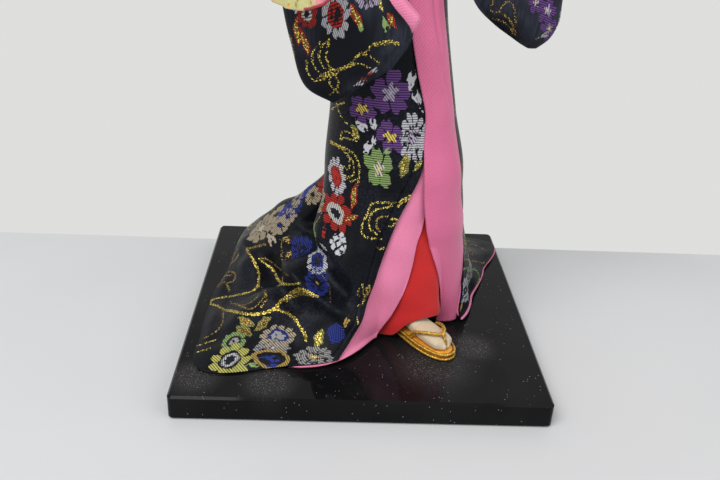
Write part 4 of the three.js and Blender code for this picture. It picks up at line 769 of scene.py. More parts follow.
class Cloth:
    """A grid of cloth with what is woven on it."""

    def __init__(self, grid, centre=None):
        """Its normals point away from a centre, or else from the figure's axis."""
        self.grid, self.p = grid, grid.reshape(-1, 3)
        if centre is None:
            centre = point(axis_x(self.p[:, 2]), 0, self.p[:, 2])
        n = unit(np.cross(np.gradient(grid, axis=0), np.gradient(grid, axis=1))).reshape(-1, 3)
        away = np.einsum("ij,ij->i", n, self.p - centre)
        self.n = -n if np.median(away) < 0 else n
        self.d = [np.full(len(self.p), FAR) for _ in range(LAYERS)]
        self.c = [np.zeros((len(self.p), 3)) for _ in range(LAYERS)]
        self.px, self.py, self.depth = pictured(self.p)
        self.facing = np.einsum("ij,ij->i", self.n, unit(CAMERA_AT - self.p))

    def anchor(self, px, py):
        """The nearest shown point of the cloth to a place in the picture."""
        close = np.flatnonzero((np.abs(self.px - px) < 6) & (np.abs(self.py - py) < 6)
                               & (self.facing > 0.05))
        off = np.hypot(self.px[close] - px, self.py[close] - py)
        if not len(close) or off.min() > 5:
            return None
        best = close[off < off.min() + 1.2]
        return best[np.argmin(self.depth[best])]

    def anchored(self, marks, count):
        """The points of the cloth along a curve through places in the picture."""
        found = [self.anchor(x, y) for x, y, _ in spline([(x, y, 0) for x, y in marks], count)]
        return np.array([self.p[i] for i in found if i is not None])

    def draw(self, at, kind, radius, turn, colours, ways, squeeze=1.0):
        """Draws one figure round a point; ways are its two directions, a unit long each."""
        right, up = ways
        near = np.flatnonzero((((self.p - self.p[at]) ** 2).sum(1) < (1.9 * radius) ** 2)
                              & (self.n @ self.n[at] > 0.15))
        q = self.p[near] - self.p[at]
        x, y = q @ right, q @ up
        c, s = math.cos(math.radians(turn)), math.sin(math.radians(turn))
        x, y = (c * x + s * y) / radius, (c * y - s * x) / (radius * squeeze)
        phase = self.p[at] @ [1.7, 2.3, 3.1]
        x, y = (x + 0.05 * np.sin(4.1 * y + phase) + 0.03 * np.sin(9.3 * y - phase),
                y + 0.05 * np.sin(4.7 * x + 2 * phase) + 0.03 * np.sin(8.7 * x + phase))
        size = radius * min(squeeze, 1.0)
        for layer, distance, colour in FIGURES[kind](x, y, *colours):
            self.put(layer, near, distance * size, colour)
            for above in self.d[1:] if layer == 0 else ():
                above[near] = np.where(distance < 0.02, FAR, above[near])

    def put(self, layer, near, distance, colour):
        ontop = distance < self.d[layer][near]
        if layer == 1:
            ontop = ontop | (distance < 0)
        chosen = near[ontop]
        self.d[layer][chosen] = distance[ontop]
        self.c[layer][chosen] = colour

    def shown(self, px, py, kind, size, turn, colours, squeeze):
        """A figure where the picture shows it, its size in picture points."""
        at = self.anchor(px, py)
        if at is None:
            return
        n = self.n[at]
        right = unit(RIGHT - n * (n @ RIGHT))
        up = np.cross(n, right)
        unit_mm = self.depth[at] / FOCAL_PX
        wide = unit_mm / max(right @ RIGHT, 0.5)
        tall = unit_mm / max(up @ UP, 0.5)
        mean = math.sqrt(wide * tall)
        self.draw(at, kind, size * mean, turn, colours, (right * mean / wide, up * mean / tall),
                  squeeze)

    def scattered(self, draw, free, count, kinds, spacing):
        """Figures spread at random over the free points, none close to another."""
        pool = np.flatnonzero(free)
        taken = []
        for _ in range(count * 12):
            if len(taken) >= count or not len(pool):
                break
            at = pool[draw.integers(len(pool))]
            if taken and ((self.p[taken] - self.p[at]) ** 2).sum(1).min() < spacing ** 2:
                continue
            taken.append(at)
            kind, size, colours = kinds[draw.integers(len(kinds))]
            n = self.n[at]
            side = unit(np.cross(n, draw.normal(size=3)))
            self.draw(at, kind, size * draw.uniform(0.85, 1.15), draw.uniform(0, 360), colours,
                      (side, np.cross(n, side)))

    def line(self, marks, width, colour):
        """A gilt line through places in the picture, broken where the cloth jumps."""
        way = self.anchored(marks, max(8, 5 * len(marks)))
        if len(way) < 3:
            return
        steps = np.linalg.norm(np.diff(way, axis=0), axis=1)
        for piece in np.split(way, np.flatnonzero(steps > 9) + 1):
            if len(piece) < 3:
                continue
            piece = smoothed(piece, 2)
            low, high = piece.min(0) - 2, piece.max(0) + 2
            near = np.flatnonzero(((self.p > low) & (self.p < high)).all(1))
            far = np.minimum(nearest(piece, self.p[near])[0], FAR)
            self.put(LAYERS - 1, near, far - width / 2, colour)

    def weave(self, figures, lines):
        """Figures and gilt lines where the picture shows them."""
        for figure in figures:
            self.shown(*figure)
        for width, colour, marks in lines:
            self.line(marks, LINE_WIDTH * width, colour)

    def facts(self, extra):
        """The attributes of this grid, followed by that many plain points."""
        made = plain_facts(self.grid, extra)
        for k, (d, c) in enumerate(zip(self.d, self.c)):
            made[f"d{k}"] = np.append(np.clip(d, -3, 3), np.full(extra, 3.0))
            made[f"c{k}"] = np.concatenate([c, np.zeros((extra, 3))])
        return made


WOVEN = [
    ("blossom", 5.2, (PURPLE, LILAC, GOLD)), ("blossom", 4.6, (GREEN, CREAM, GOLD)),
    ("daisy", 5.0, (RED, CREAM, WHITE)), ("ringed", 5.0, (WHITE, RED, DARK)),
    ("aster", 5.6, (TAN, BLUE)), ("mum", 5.0, (LILAC, WHITE, GOLD)),
    ("leaf", 3.6, (RED, GOLD)), ("leaf", 3.4, (OLIVE, GOLD)),
    ("petal", 3.0, (WHITE,)), ("swirl", 8.5, (GOLD,)),
    ("swirl", 7.0, (BRONZE,)), ("oval", 3.0, (GOLD, BLUE)),
]


def plain_facts(grid, extra=0):
    """Warp and weft of a grid, again for as many inner points or nought for extra ones."""
    return {key: np.append(values, values if extra == values.size else np.zeros(extra))
            for key, values in zip(("warp", "weft"), arc_lengths(grid))}


# What is woven where the picture shows it: place, figure, size, turn, colours and squeeze.

SLEEVE_FIGURES = [
    (306, 15, "daisy", 11, 10, (RED, CREAM, WHITE), 1.2),
    (336, 16, "ringed", 15, 5, (WHITE, RED, DARK), 1.45),
    (296, 33, "leaf", 12, 95, (RED, GOLD), 0.8),
    (304.4, 42.4, "leaf", 12.5, 112, (RED, GOLD), 0.8),
    (355, 18.4, "leaf", 13, -62, (RED, GOLD), 0.9),
    (359.6, 27, "petal", 6, -70, (GREEN,), 0.9),
    (384.4, 26, "petal", 7, -65, (GREEN,), 1),
    (392, 22, "leaf", 9, -60, (RED, GOLD), 0.9),
    (381, 6, "leaf", 7, -70, (OLIVE, GOLD), 0.9),
    (292, 7, "petal", 7, 110, (WHITE,), 1),
    (375, 71, "petal", 4, 20, (WHITE,), 1),
    (370, 74.4, "petal", 3, 20, (RED,), 1),
    (359.6, 85, "petal", 4, 20, (WHITE,), 1),
    (363.6, 80.6, "petal", 3, 20, (RED,), 1),
    (308, 99, "petal", 4, 90, (GREEN,), 1),
]
BODY_FIGURES = [
    (389, 94, "blossom", 22, 12, (PURPLE, LILAC, LILAC), 1.03),
    (361, 109, "blossom", 15, 50, (PURPLE, GOLD, GOLD), 1),
    (413.6, 81, "petal", 9, 80, (WHITE,), 1),
    (418, 99, "petal", 9, 115, (WHITE,), 1),
    (360, 128, "petal", 8, -35, (WHITE,), 1),
    (371.6, 125, "petal", 7, 100, (WHITE,), 1),
    (366.4, 147, "petal", 8, 65, (WHITE,), 1),
    (373, 139.6, "petal", 6, 80, (WHITE,), 1),
    (389, 137, "blossom", 14, 30, (PURPLE, GOLD, GOLD), 1.3),
    (415, 138, "mum", 15, 0, (WHITE, LILAC, LILAC), 1.5),
    (378, 170, "blossom", 15, 20, (GREEN, CREAM, GOLD), 1.45),
    (386, 152, "petal", 5, 40, (GREEN,), 1),
    (354, 133, "leaf", 8, -60, (OLIVE, GOLD), 1),
    (406, 166.4, "leaf", 13, 78, (OLIVE, GOLD), 1.05),
    (419.4, 167, "leaf", 7, 50, (OLIVE, GOLD), 1),
    (334.4, 175.6, "ringed", 10, 10, (WHITE, RED, RED), 1.8),
    (334.4, 212, "daisy", 15, 15, (RED, CREAM, WHITE), 1.4),
    (352.4, 197, "leaf", 13, 82, (RED, GOLD), 0.7),
    (350, 218, "leaf", 8, 25, (RED, GOLD), 1.1),
    (337.4, 243.6, "gridded", 11.6, 0, (WHITE,), 1),
    (322, 233, "petal", 6, 80, (RED,), 0.7),
    (316.4, 261, "ringed", 11, 15, (WHITE, BLUE, DARK), 1.3),
    (301, 250, "mum", 11, 0, (BLUE, DARK, BLUE), 1.2),
    (318, 282, "mum", 12, 0, (BLUE, DARK, BRONZE), 1.2),
    (367, 292, "oval", 5, 60, (BRONZE, DARK), 1),
]
TRAIN_FIGURES = [
    (260, 227, "aster", 15, 200, (TAN, CREAM), 0.8),
    (270, 239, "petal", 8, -60, (TAN,), 1),
    (278, 225.6, "aster", 11, 0, (TAN, BLUE), 0.9),
    (276, 213, "aster", 10, 0, (TAN, DARK), 0.7),
    (287, 216, "aster", 9, 30, (TAN, BLUE), 1),
    (283.6, 210, "petal", 8, 20, (BLUE,), 1.2),
    (294, 205, "mum", 9, 0, (BLUE, TAN, BLUE), 1),
    (298, 196, "aster", 8, 40, (TAN, BLUE), 0.8),
    (311, 195, "aster", 9, 0, (TAN, DARK), 1.1),
    (305, 186, "petal", 9, 20, (BLUE,), 1),
    (285.6, 238.4, "petal", 5, 0, (BRONZE,), 1),
    (245.6, 320.6, "leaf", 10, -28, (OLIVE, BRONZE), 1.2),
    (245, 330, "leaf", 10, -25, (OLIVE, BRONZE), 1.1),
    (263.6, 322.4, "leaf", 10, 42, (OLIVE, BRONZE), 1.2),
    (278, 335, "ringed", 18, 10, (TAN, BLUE, GREY), 0.62),
    (272, 346.4, "mum", 18, 0, (GREY, GREY, LILAC), 0.45),
    (233, 340, "ringed", 13, 0, (GREEN, DARK, GREY), 0.6),
    (231, 358.6, "daisy", 21, 5, (LIME, DARK, WHITE), 0.62),
    (256, 363, "petal", 9, 10, (GREEN,), 0.7),
    (272, 357, "oval", 19, 0, (BRONZE, DARK), 0.6),
    (272, 357, "petal", 9, 0, (BLUE,), 0.6),
    (272, 364.4, "petal", 6, 0, (BLUE,), 0.6),
    (319, 337, "leaf", 10, 72, (OLIVE, GOLD), 1.3),
    (336.4, 332, "oval", 9, 0, (BLUE, BLUE), 1.5),
    (347, 323, "petal", 5, 70, (BRONZE,), 1),
    (314, 355.6, "mum", 20, 0, (GREY, TAN, GOLD), 0.5),
]
HEM_FIGURES = [
    (467, 290.4, "mum", 10, 0, (WHITE, DARK, GREY), 1.3),
    (471, 274, "daisy", 9, 0, (GREY, DARK, WHITE), 1.1),
    (460, 298, "petal", 5, 80, (BLUE,), 1),
    (460.4, 308, "petal", 5, 80, (BRONZE,), 1),
]
LEFT_SLEEVE_FIGURES = [
    (548, 12, "blossom", 10, 0, (PURPLE, LILAC, GOLD), 1.2),
    (550, 30, "blossom", 9, 30, (PURPLE, GREY, GOLD), 1.2),
    (537, 4, "blossom", 8, 30, (PURPLE, LILAC, GOLD), 1.2),
    (546, 35.6, "petal", 5, 20, (GREY,), 1),
]

# Gilt lines in the same places: width in millimetres, colour and marks.

SLEEVE_LINES = [
    (0.45, GOLD, [(321, 43), (313.6, 51), (312, 60), (315, 69), (323, 77)]),
    (0.45, GOLD, [(328.4, 40), (321, 48), (318.6, 58), (322, 67), (331, 72.4)]),
    (0.45, GOLD, [(330, 41), (326.4, 52), (326, 60), (330, 69), (334, 71)]),
    (0.45, GOLD, [(306.6, 60), (306.4, 69), (310, 77), (316, 82.4), (328, 77), (334, 74)]),
    (0.5, GOLD, [(318, 78.4), (334, 71.4), (350, 65.4), (360, 55),
        (369, 52.4), (371, 48), (378, 44), (390, 42.6), (399, 44.4)]),
    (0.5, GOLD, [(322, 80.4), (336, 74.8), (354, 65.6), (364, 66.4), (371, 71)]),
    (0.45, GOLD, [(360, 55), (368, 57), (379, 64.4)]),
    (0.45, GOLD, [(332, 74), (330, 86), (339, 94)]),
    (0.45, GOLD, [(337, 78), (338.4, 88), (330, 96)]),
    (0.45, BRONZE, [(287, 36), (290, 46), (292.4, 58)]),
    (0.45, GOLD, [(370, 48), (382, 45.6), (399, 45.6)]),
]
BODY_LINES = [
    (0.42, GOLD, [(335, 104), (340.4, 118), (350, 128), (354.4, 140)]),
    (0.42, GOLD, [(330, 109), (337, 104.4), (344, 102.4)]),
    (0.42, GOLD, [(339, 134), (342.4, 131.4), (350, 134), (356, 141)]),
    (0.42, GOLD, [(339, 140), (344, 137.6), (352, 141)]),
    (0.42, GOLD, [(339, 134), (339, 140)]),
    (0.5, GOLD, [(329.6, 140), (338, 145.6), (345, 149), (353, 155), (357.6, 166), (356.4, 186)]),
    (0.42, GOLD, [(329.6, 142), (339, 149), (348, 156),
        (352.4, 166), (351, 177), (344, 176), (339.6, 168)]),
    (0.42, GOLD, [(342, 149), (348, 160), (347, 170), (342, 166)]),
    (0.42, GOLD, [(344, 176), (348, 181), (355.6, 180)]),
    (0.5, GOLD, [(402, 203.6), (390, 204), (371, 204.4), (367, 212),
        (360.4, 227), (362.4, 236), (371, 239.6), (380, 240)]),
    (0.5, GOLD, [(392, 207.6), (375, 211), (368.6, 220), (369.4, 229.6), (378, 235)]),
    (0.5, BRONZE, [(388, 217), (379.6, 219), (376.4, 226), (380.4, 232.4)]),
    (0.6, GOLD, [(398, 205), (405, 200), (411, 197)]),
    (0.6, GOLD, [(397, 207), (405, 202.4), (411, 200)]),
    (0.6, GOLD, [(390, 221), (394, 220), (398, 222), (393, 227), (389, 228)]),
    (0.5, GOLD, [(377, 248), (379, 250), (384, 249.6)]),
    (0.5, GOLD, [(363.6, 286), (365, 292), (371, 285), (366, 298), (364, 305), (359, 306)]),
    (0.4, BRONZE, [(360, 289), (357.6, 295), (360, 298)]),
    (0.5, GOLD, [(357, 317), (359.6, 320), (359.6, 324)]),
    (0.36, BRONZE, [(323, 274), (330, 285), (331, 302)]),
]
TRAIN_LINES = [
    (0.85, GOLD, [(205.6, 299.4), (222, 296), (240, 293.2), (254, 289),
        (259.4, 282), (258.4, 270), (250, 254.4), (245, 248.4)]),
    (0.8, BRONZE, [(245, 248.4), (254, 245.6), (264.4, 243.6)]),
    (0.95, GOLD, [(206, 300), (224, 308), (242, 312.4), (258, 313),
        (273, 308.4), (284, 298.4), (296, 290.4), (314, 294.4)]),
    (0.75, GOLD, [(284, 298.4), (290, 292), (302, 289), (318, 295.6)]),
    (0.75, BRONZE, [(286, 300), (298, 295), (312, 296)]),
    (0.85, GOLD, [(277, 308), (288, 312), (296, 320), (302.4, 330.4), (306, 339)]),
    (0.7, GOLD, [(259, 258), (270, 266), (276.4, 278), (282.4, 284.4), (298, 284)]),
    (0.5, BRONZE, [(260.4, 257), (274, 265), (287, 276.4)]),
    (0.7, BRONZE, [(223, 262.4), (232.4, 261), (238, 253)]),
    (0.7, BRONZE, [(222, 258.4), (231, 255.6), (236.4, 249)]),
    (0.6, BRONZE, [(216.6, 272.4), (233, 271.2), (233.2, 279.6), (226, 282)]),
    (0.6, BRONZE, [(212.6, 280), (220, 275.6), (231, 274)]),
    (0.6, BRONZE, [(216, 284.4), (225, 281), (230, 290)]),
    (0.5, BRONZE, [(260.4, 283), (264.4, 292), (260.4, 300), (250, 308), (238, 304.4),
        (229.6, 300.4)]),
    (0.5, BRONZE, [(263, 288), (265.6, 298), (260.4, 306)]),
    (0.5, BRONZE, [(230, 301.2), (242.4, 304.4), (254.4, 298), (259, 292)]),
    (0.5, BRONZE, [(223, 308), (222, 320), (216, 330.4), (202, 338)]),
    (0.5, GOLD, [(197, 345), (216, 338.4)]),
    (0.5, GOLD, [(197, 351), (210, 347)]),
    (0.5, BRONZE, [(310, 196), (318, 204), (320, 214), (310, 228)]),
]
HEM_LINES = [
    (0.8, GREEN, [(463.6, 270), (470.4, 267.6), (478, 270.4), (481, 279), (478, 286)]),
    (0.5, BRONZE, [(464, 242.4), (476, 244), (488, 250.4)]),
    (0.5, BRONZE, [(465, 259.6), (476, 260), (485, 262.4)]),
    (0.5, BRONZE, [(464.4, 246), (467, 249), (466, 254)]),
]
LEFT_SLEEVE_LINES = [
    (0.42, BRONZE, [(493.6, 0), (490.4, 8), (492.4, 14.4), (500, 14), (509.6, 22), (515, 34.4)]),
    (0.42, BRONZE, [(498.4, 12), (503.6, 4), (510, 3), (514.4, 12), (515.4, 24), (512.4, 34)]),
    (0.42, BRONZE, [(490, 20), (502, 22.4), (515.6, 36)]),
]


# The floor, which ends where the wall of the photograph begins, and plain soft light.

def floor_look(name):
    look = Look(name)
    look.set(Base_Color=look.mix(look.ramp(look.noise(90.0, 3.0), 0.2, 0.8),
                                 (0.62, 0.624, 0.63), (0.645, 0.648, 0.652)),
             Roughness=0.55, Specular_IOR_Level=0.25)
    return look


left_end, right_end = on_table(0, 232), on_table(WIDE_PX, 255)
along_wall = unit(right_end - left_end)
towards_camera = np.array([along_wall[1], -along_wall[0], 0])
middle = (left_end + right_end) / 2
floor_mesh = bpy.data.meshes.new("floor")
floor_mesh.from_pydata([tuple((middle + along_wall * a + towards_camera * b) * MM)
                        for a, b in ((-1600, 0), (1600, 0), (1600, 2200), (-1600, 2200))],
                       [], [(0, 1, 2, 3)])
floor = bpy.data.objects.new("floor", floor_mesh)
bpy.context.scene.collection.objects.link(floor)
floor_look("pale_floor").on(floor)

# Rays that go straight to the camera, or by a mirror, see the wall; the rest see its light.

world = bpy.data.worlds.new("studio")
bpy.context.scene.world = world
world.use_nodes = True
sky = Nodes(world.node_tree)
light = sky.tree.nodes["Background"]
sky.feed(light.inputs["Color"], (0.98, 0.99, 1))
sky.feed(light.inputs["Strength"], 0.52)
wall = sky.node("Background", {"Color": (0.735, 0.735, 0.72)})
camera_ray, glossy_ray, through_ray = (sky.node("LightPath", out=f"Is {kind} Ray")
                                       for kind in ("Camera", "Glossy", "Transmission"))
sees_wall = sky.most(sky.most(camera_ray, glossy_ray), through_ray)
sky.feed(sky.tree.nodes["World Output"].inputs["Surface"],
         sky.node("MixShader", {0: sees_wall, 1: light.outputs[0], 2: wall}))


def lamp(name, at, power, size):
    """A square lamp that shines on the doll's knees."""
    light = bpy.data.lights.new(name, "AREA")
    light.energy, light.size = power, size
    made = bpy.data.objects.new(name, light)
    made.location = Vector(at) * MM
    aim = Vector((0, 0, 90)) * MM - made.location
    made.rotation_euler = aim.to_track_quat("-Z", "Y").to_euler()
    bpy.context.scene.collection.objects.link(made)


lamp("key_light", (-420, -560, 980), 9.4, 0.7)
lamp("fill_light", (700, -500, 600), 2.4, 0.9)
bpy.context.scene.view_settings.view_transform = "Standard"

# Finishes of the CAD nodes that stay.

lacquer.on("base_board")
steel.on("right_leg_wire", "left_leg_wire", "arm_wire")
straw.on("body_core")
wadding.on("train_wadding", "right_arm", "left_arm")
fan_lacquer.on("fan_ribs")
gilt.on("fan_rivet")

# The kimono's skirt, on the CAD's own surface.

# Heading in degrees, how far out the hem stands there, and the handles of the curve that comes
# down from the knee: how high and how far in at the hem, how far out and how far down at the knee.

HEM_ROWS = [
    (-8, 32, 15, 1, 30.5, 24), (-23, 52, 8, 9, 31, 22), (-40, 68, 3, 26, 31, 32),
    (-54, 91, 3, 42, 32, 40), (-68, 82, 9, 22, 33, 40), (-86, 76, 4, 34, 32, 40),
    (-101, 75, 16, 14, 32, 28), (-118, 80, 27, 8, 32, 20), (-132, 86, 17, 14, 31, 26),
    (-150, 71, 6, 26, 31, 38), (-180, 62, 5, 20, 30, 38), (-206, 70, 3, 30, 31, 38),
    (-225, 78, 2, 34, 31, 36), (-240, 54, 6, 14, 31, 30), (-270, 37, 16, 2, 29.5, 24),
    (-297, 35, 16, 2, 27, 24), (-318, 33, 16, 2, 27, 24),
]
hem_reach, hem_rise, hem_lie, hem_leave, hem_drop = (
    round_track(*[(row[0], row[k]) for row in HEM_ROWS]) for k in range(1, 6))

# How far the legs' column reaches to the sides and to the front, by height.

column_wide = track((KNEE, 28), (CALF, 24.4), (HIP, 20.4), (SKIRT_TOP, 19.4))
column_deep = track((KNEE, 24), (CALF, 20.6), (HIP, 18), (SKIRT_TOP, 15.8))

# Headings of the front edges by height: of the brocade, of its lining, and of the left front.

right_front = track((HEM, -23.5), (17, -21), (24, -18.2), (33, -15.5), (40, -12.5), (48, -8.5),
                    (55.4, -4), (62.4, 2), (71, 12.2), (80, 22), (CALF, 34), (SKIRT_TOP, 40))
right_lining = track((HEM, -9), (22, 0), (31.5, 8), (41.3, 13.8), (51, 18.5), (57, 24.2),
                     (62.2, 27.2), (71, 31), (80, 34.5), (CALF, 38.5), (SKIRT_TOP, 44))
left_front = track((HEM, 60.5), (25, 67), (45, 75.5), (65.8, 65), (80, 61), (92, 63), (112, 62),
                   (128, 61), (HIP, 58), (SKIRT_TOP, 47))
KNEE_ROW = 0.36     # the share of the skirt's rows above the knee
LININGS = 0.08      # the share that the lining adds past the right front edge


def column_radius(deg, z):
    return ellipse(column_wide(z), column_deep(z), deg)


def bezier(p, t):
    return (p[0] * (1 - t) ** 3 + 3 * p[1] * t * (1 - t) ** 2 + 3 * p[2] * t * t * (1 - t)
            + p[3] * t ** 3)


red_reach = round_track((-12, 28), (10, 31.5), (33, 33.5), (52, 24.4), (75, 23), (100, 27),
                        (135, 32.5), (180, 31.5), (225, 29), (270, 27.5), (320, 28))
red_hem = round_track((-14, FLOOR_OF_CLOTH + 0.6), (0, FLOOR_OF_CLOTH + 1.4), (12, 18.2),
                      (22, 20.5), (36, 20.9), (60, 18), (100, FLOOR_OF_CLOTH + 2),
                      (140, FLOOR_OF_CLOTH + 0.6), (220, FLOOR_OF_CLOTH + 0.6),
                      (300, FLOOR_OF_CLOTH + 0.6))
RED_INSET, RED_THICK, RED_KNEE_ROW = 2.3, 0.6, 0.4


def red_curve(deg, t):
    """The red underskirt below the knee: its radius and height."""
    start = column_radius(deg, KNEE) - RED_INSET
    reach, low = red_reach(deg), red_hem(deg)
    return (bezier([start, start + 0.6, reach - 1.2, reach], t),
            bezier([KNEE, KNEE - 18, low + 15, low], t))


def red_radius(deg, z):
    """How far out the red underskirt stands at a height."""
    low, high = np.zeros(np.shape(z)), np.ones(np.shape(z))
    for _ in range(12):
        mid = (low + high) / 2
        beyond = red_curve(deg, mid)[1] < z
        low, high = np.where(beyond, low, mid), np.where(beyond, mid, high)
    below = np.where(z < red_hem(deg) - 0.5, 0, red_curve(deg, low)[0])
    return np.where(z > KNEE, column_radius(deg, z) - RED_INSET, below)


def knee_split(v, knee_row):
    """For the rows of a skirt: whether above the knee, the height there, and the share below."""
    return (v <= knee_row, lerp(SKIRT_TOP, KNEE, np.minimum(v / knee_row, 1)),
            np.clip((v - knee_row) / (1 - knee_row), 0, 1))


def skirt_profile(deg, v):
    """How far out the skirt stands, and how high, at a heading and a row."""
    above, upper, t = knee_split(v, KNEE_ROW)
    start, reach = column_radius(deg, KNEE), hem_reach(deg)
    r = bezier([start, np.maximum(hem_leave(deg), start), reach - hem_lie(deg), reach], t)
    z = bezier([KNEE, KNEE - hem_drop(deg), HEM + hem_rise(deg), HEM], t)
    return np.where(above, column_radius(deg, upper), r), np.where(above, upper, z)


def edge_heading(edge, v):
    deg = np.broadcast_to(edge(KNEE), v.shape)
    for _ in range(6):
        deg = edge(skirt_profile(deg, v)[1])
    return deg


def skirt_heading(u, v):
    start = edge_heading(right_front, v)
    past = lerp(start, edge_heading(right_lining, v), -u / LININGS)
    return np.where(u < 0, past, lerp(start, edge_heading(left_front, v) - 360, u))


def skirt_point(u, v):
    deg = skirt_heading(u, v)
    radius, z = skirt_profile(deg, v)
    return polar(deg, radius, z)


# Folds of the skirt where the picture shows them: height out of the cloth, width and marks.

FOLDS = [
    (1.7, 2.4, [(240, 236), (247, 246), (254, 262), (258.6, 280), (256, 289), (246, 292)]),
    (-3.4, 4.0, [(262, 252), (268, 266), (277, 284), (290, 300), (304, 311)]),
    (3.6, 3.2, [(279, 256), (290, 270), (300, 284), (317, 297), (335, 309), (347, 322)]),
    (-5.6, 4.8, [(298, 232), (308, 250), (320, 268), (334, 288), (348, 303)]),
    (-6.8, 5.4, [(321, 178), (316, 196), (308, 214), (300, 232)]),
    (-1.3, 5.0, [(238, 256), (230, 276), (223, 300), (217, 330), (212, 356)]),
    (1.0, 4.5, [(222, 262), (213, 290), (206, 318), (202, 346)]),
    (-1.2, 4.0, [(262, 300), (280, 318), (292, 336), (300, 356)]),
    (-0.8, 2.2, [(343, 112), (368, 117), (395, 120), (422, 120)]),
    (0.7, 2.6, [(340, 121), (368, 127), (395, 129), (422, 129)]),
    (-0.6, 2.4, [(335, 186), (345, 176), (360, 168), (372, 150)]),
]


def fold_ways():
    """The folds as lines of points on the plain skirt."""
    grid = skirt_point(*np.meshgrid(np.linspace(0, 0.6, 260), np.linspace(0, 1, 200)))
    cloth = Cloth(grid)
    return [(height, width, smoothed(cloth.anchored(marks, 26), 3))
            for height, width, marks in FOLDS]


def creases(p):
    """How far the folds lift the cloth at these points."""
    total = np.zeros(p.shape[:-1])
    for height, width, way in FOLD_WAYS:
        near = ((p > way.min(0) - 3 * width) & (p < way.max(0) + 3 * width)).all(-1)
        best, _, share = nearest(way, p[near])
        fade = smooth(share / 0.18) * smooth((1 - share) / 0.18)
        total[near] += height * bell(best, width) * lerp(0.25, 1, fade)
    return total


def from_axis(p):
    """Heading and distance of points from the figure's axis, and the way to each."""
    x, y = p[..., 0] - axis_x(p[..., 2]), p[..., 1]
    return np.degrees(np.arctan2(x, -y)), np.hypot(x, y), point(x, y, 0)


def pushed_out(p, least):
    """Points moved straight out from the axis, to stand at least that far off it."""
    _, r, way = from_axis(p)
    return p + way * (np.maximum(r, least) / np.maximum(r, 1e-6) - 1)[..., None]


def skirt_base(u, v):
    """The skirt's outer face with its small folds, and the way into the cloth."""
    h = 0.004
    across = skirt_point(u + h, v) - skirt_point(u - h, v)
    down = skirt_point(u, np.minimum(v + h, 1)) - skirt_point(u, np.maximum(v - h, 0))
    inwards = unit(np.cross(down, across))
    p = skirt_point(u, v)
    folds = (0.16 * wave(p, 26, 3) * smooth((v - 0.05) / 0.2)
             + 0.42 * wave(p, 17, 5) * smooth((v - 0.3) / 0.35) + creases(p))
    p = p - inwards * (folds * smooth((1 - v) / 0.05))[..., None]
    return pushed_out(p, red_radius(from_axis(p)[0], p[..., 2]) + 2.2), inwards


def skirt_layer(base, inwards, inset, lowest):
    p = base + inwards * np.asarray(inset)[..., None]
    p[..., 2] = np.maximum(p[..., 2], lowest)
    return p


FOLD_WAYS = fold_ways()
U, V = np.meshgrid(spaced(0, (0.46, 430), (1, 230)), spaced(0, (KNEE_ROW, 130), (1, 165)))
base, inwards = skirt_base(U, V)
EDGE_FOLD, STITCHES = 3.3, 3.75     # where the turned edge ends and where it is sewn down
from_edge = arc_lengths(base)[0]
turned_edge = smooth((EDGE_FOLD - from_edge) / 0.45)
groove = bell(from_edge - STITCHES, 0.35)
hem_drop_there = round_track((-23, 0), (-34, 0.2), (-44, 1.3), (-70, 1.3), (-190, 1.3), (-225, 0),
                             (-300, 0))
dropped = hem_drop_there(skirt_heading(U, V)) * smooth((V - 0.955) / 0.045)
base[..., 2] -= dropped
skirt_outer = skirt_layer(base, inwards, 0.45 * groove - 0.4 * turned_edge, HEM - dropped)
skirt_inner = skirt_layer(base, inwards, CLOTH, np.maximum(HEM - CLOTH - dropped, BOARD_TOP + 0.6))

skirt_cloth = Cloth(skirt_outer)
seen = (skirt_cloth.py > -4) & (skirt_cloth.px < 465) | (skirt_cloth.py > 225)
seen &= skirt_cloth.facing > 0.04
skirt_cloth.scattered(np.random.default_rng(11), ~seen & (turned_edge.ravel() < 0.5), 190, WOVEN,
                      8.5)
skirt_cloth.weave(BODY_FIGURES + TRAIN_FIGURES + HEM_FIGURES, BODY_LINES + TRAIN_LINES + HEM_LINES)
sheet_piece("skirt_brocade", skirt_outer, skirt_inner, "brocade", ["kimono_skirt"], black_brocade,
            skirt_cloth.facts(len(skirt_cloth.p)))

U, V = np.meshgrid(spaced(-LININGS, (0, 40), (0.46, 220), (1, 130)),
                   spaced(0, (KNEE_ROW, 90), (1, 140)))
base, inwards = skirt_base(U, V)
puff = -0.5 * np.sin(np.clip(-U / LININGS, 0, 1) * math.pi)
LINING_DEPTH, LINING_THICK = 1.1, 0.7       # the depth is from the skirt's outer face
lining_outer = skirt_layer(base, inwards, LINING_DEPTH + puff, FLOOR_OF_CLOTH + LINING_THICK)
lining_inner = skirt_layer(base, inwards, LINING_DEPTH + LINING_THICK + puff, FLOOR_OF_CLOTH)
shows_below = round_track((-23, 1.2), (-33, 0.8), (-44, -2.2), (-60, -2.4), (-200, -2.4),
                          (-225, 1.0), (-260, 1.8), (-297, 1.6), (-330, 1.2))
out = shows_below(skirt_heading(U, V))
out = out * np.where(out > 0, smooth((V - 0.965) / 0.035), smooth((V - 0.9) / 0.08))
away = unit(from_axis(base)[2])
for grid in (lining_outer, lining_inner):
    grid += away * out[..., None]
sheet_piece("lining_satin", lining_outer, lining_inner, "pink_satin",
            ["kimono_lining", "train_wadding"], lining_satin,
            plain_facts(lining_outer, U.size))

# The pink facing, turned back from the left front edge.

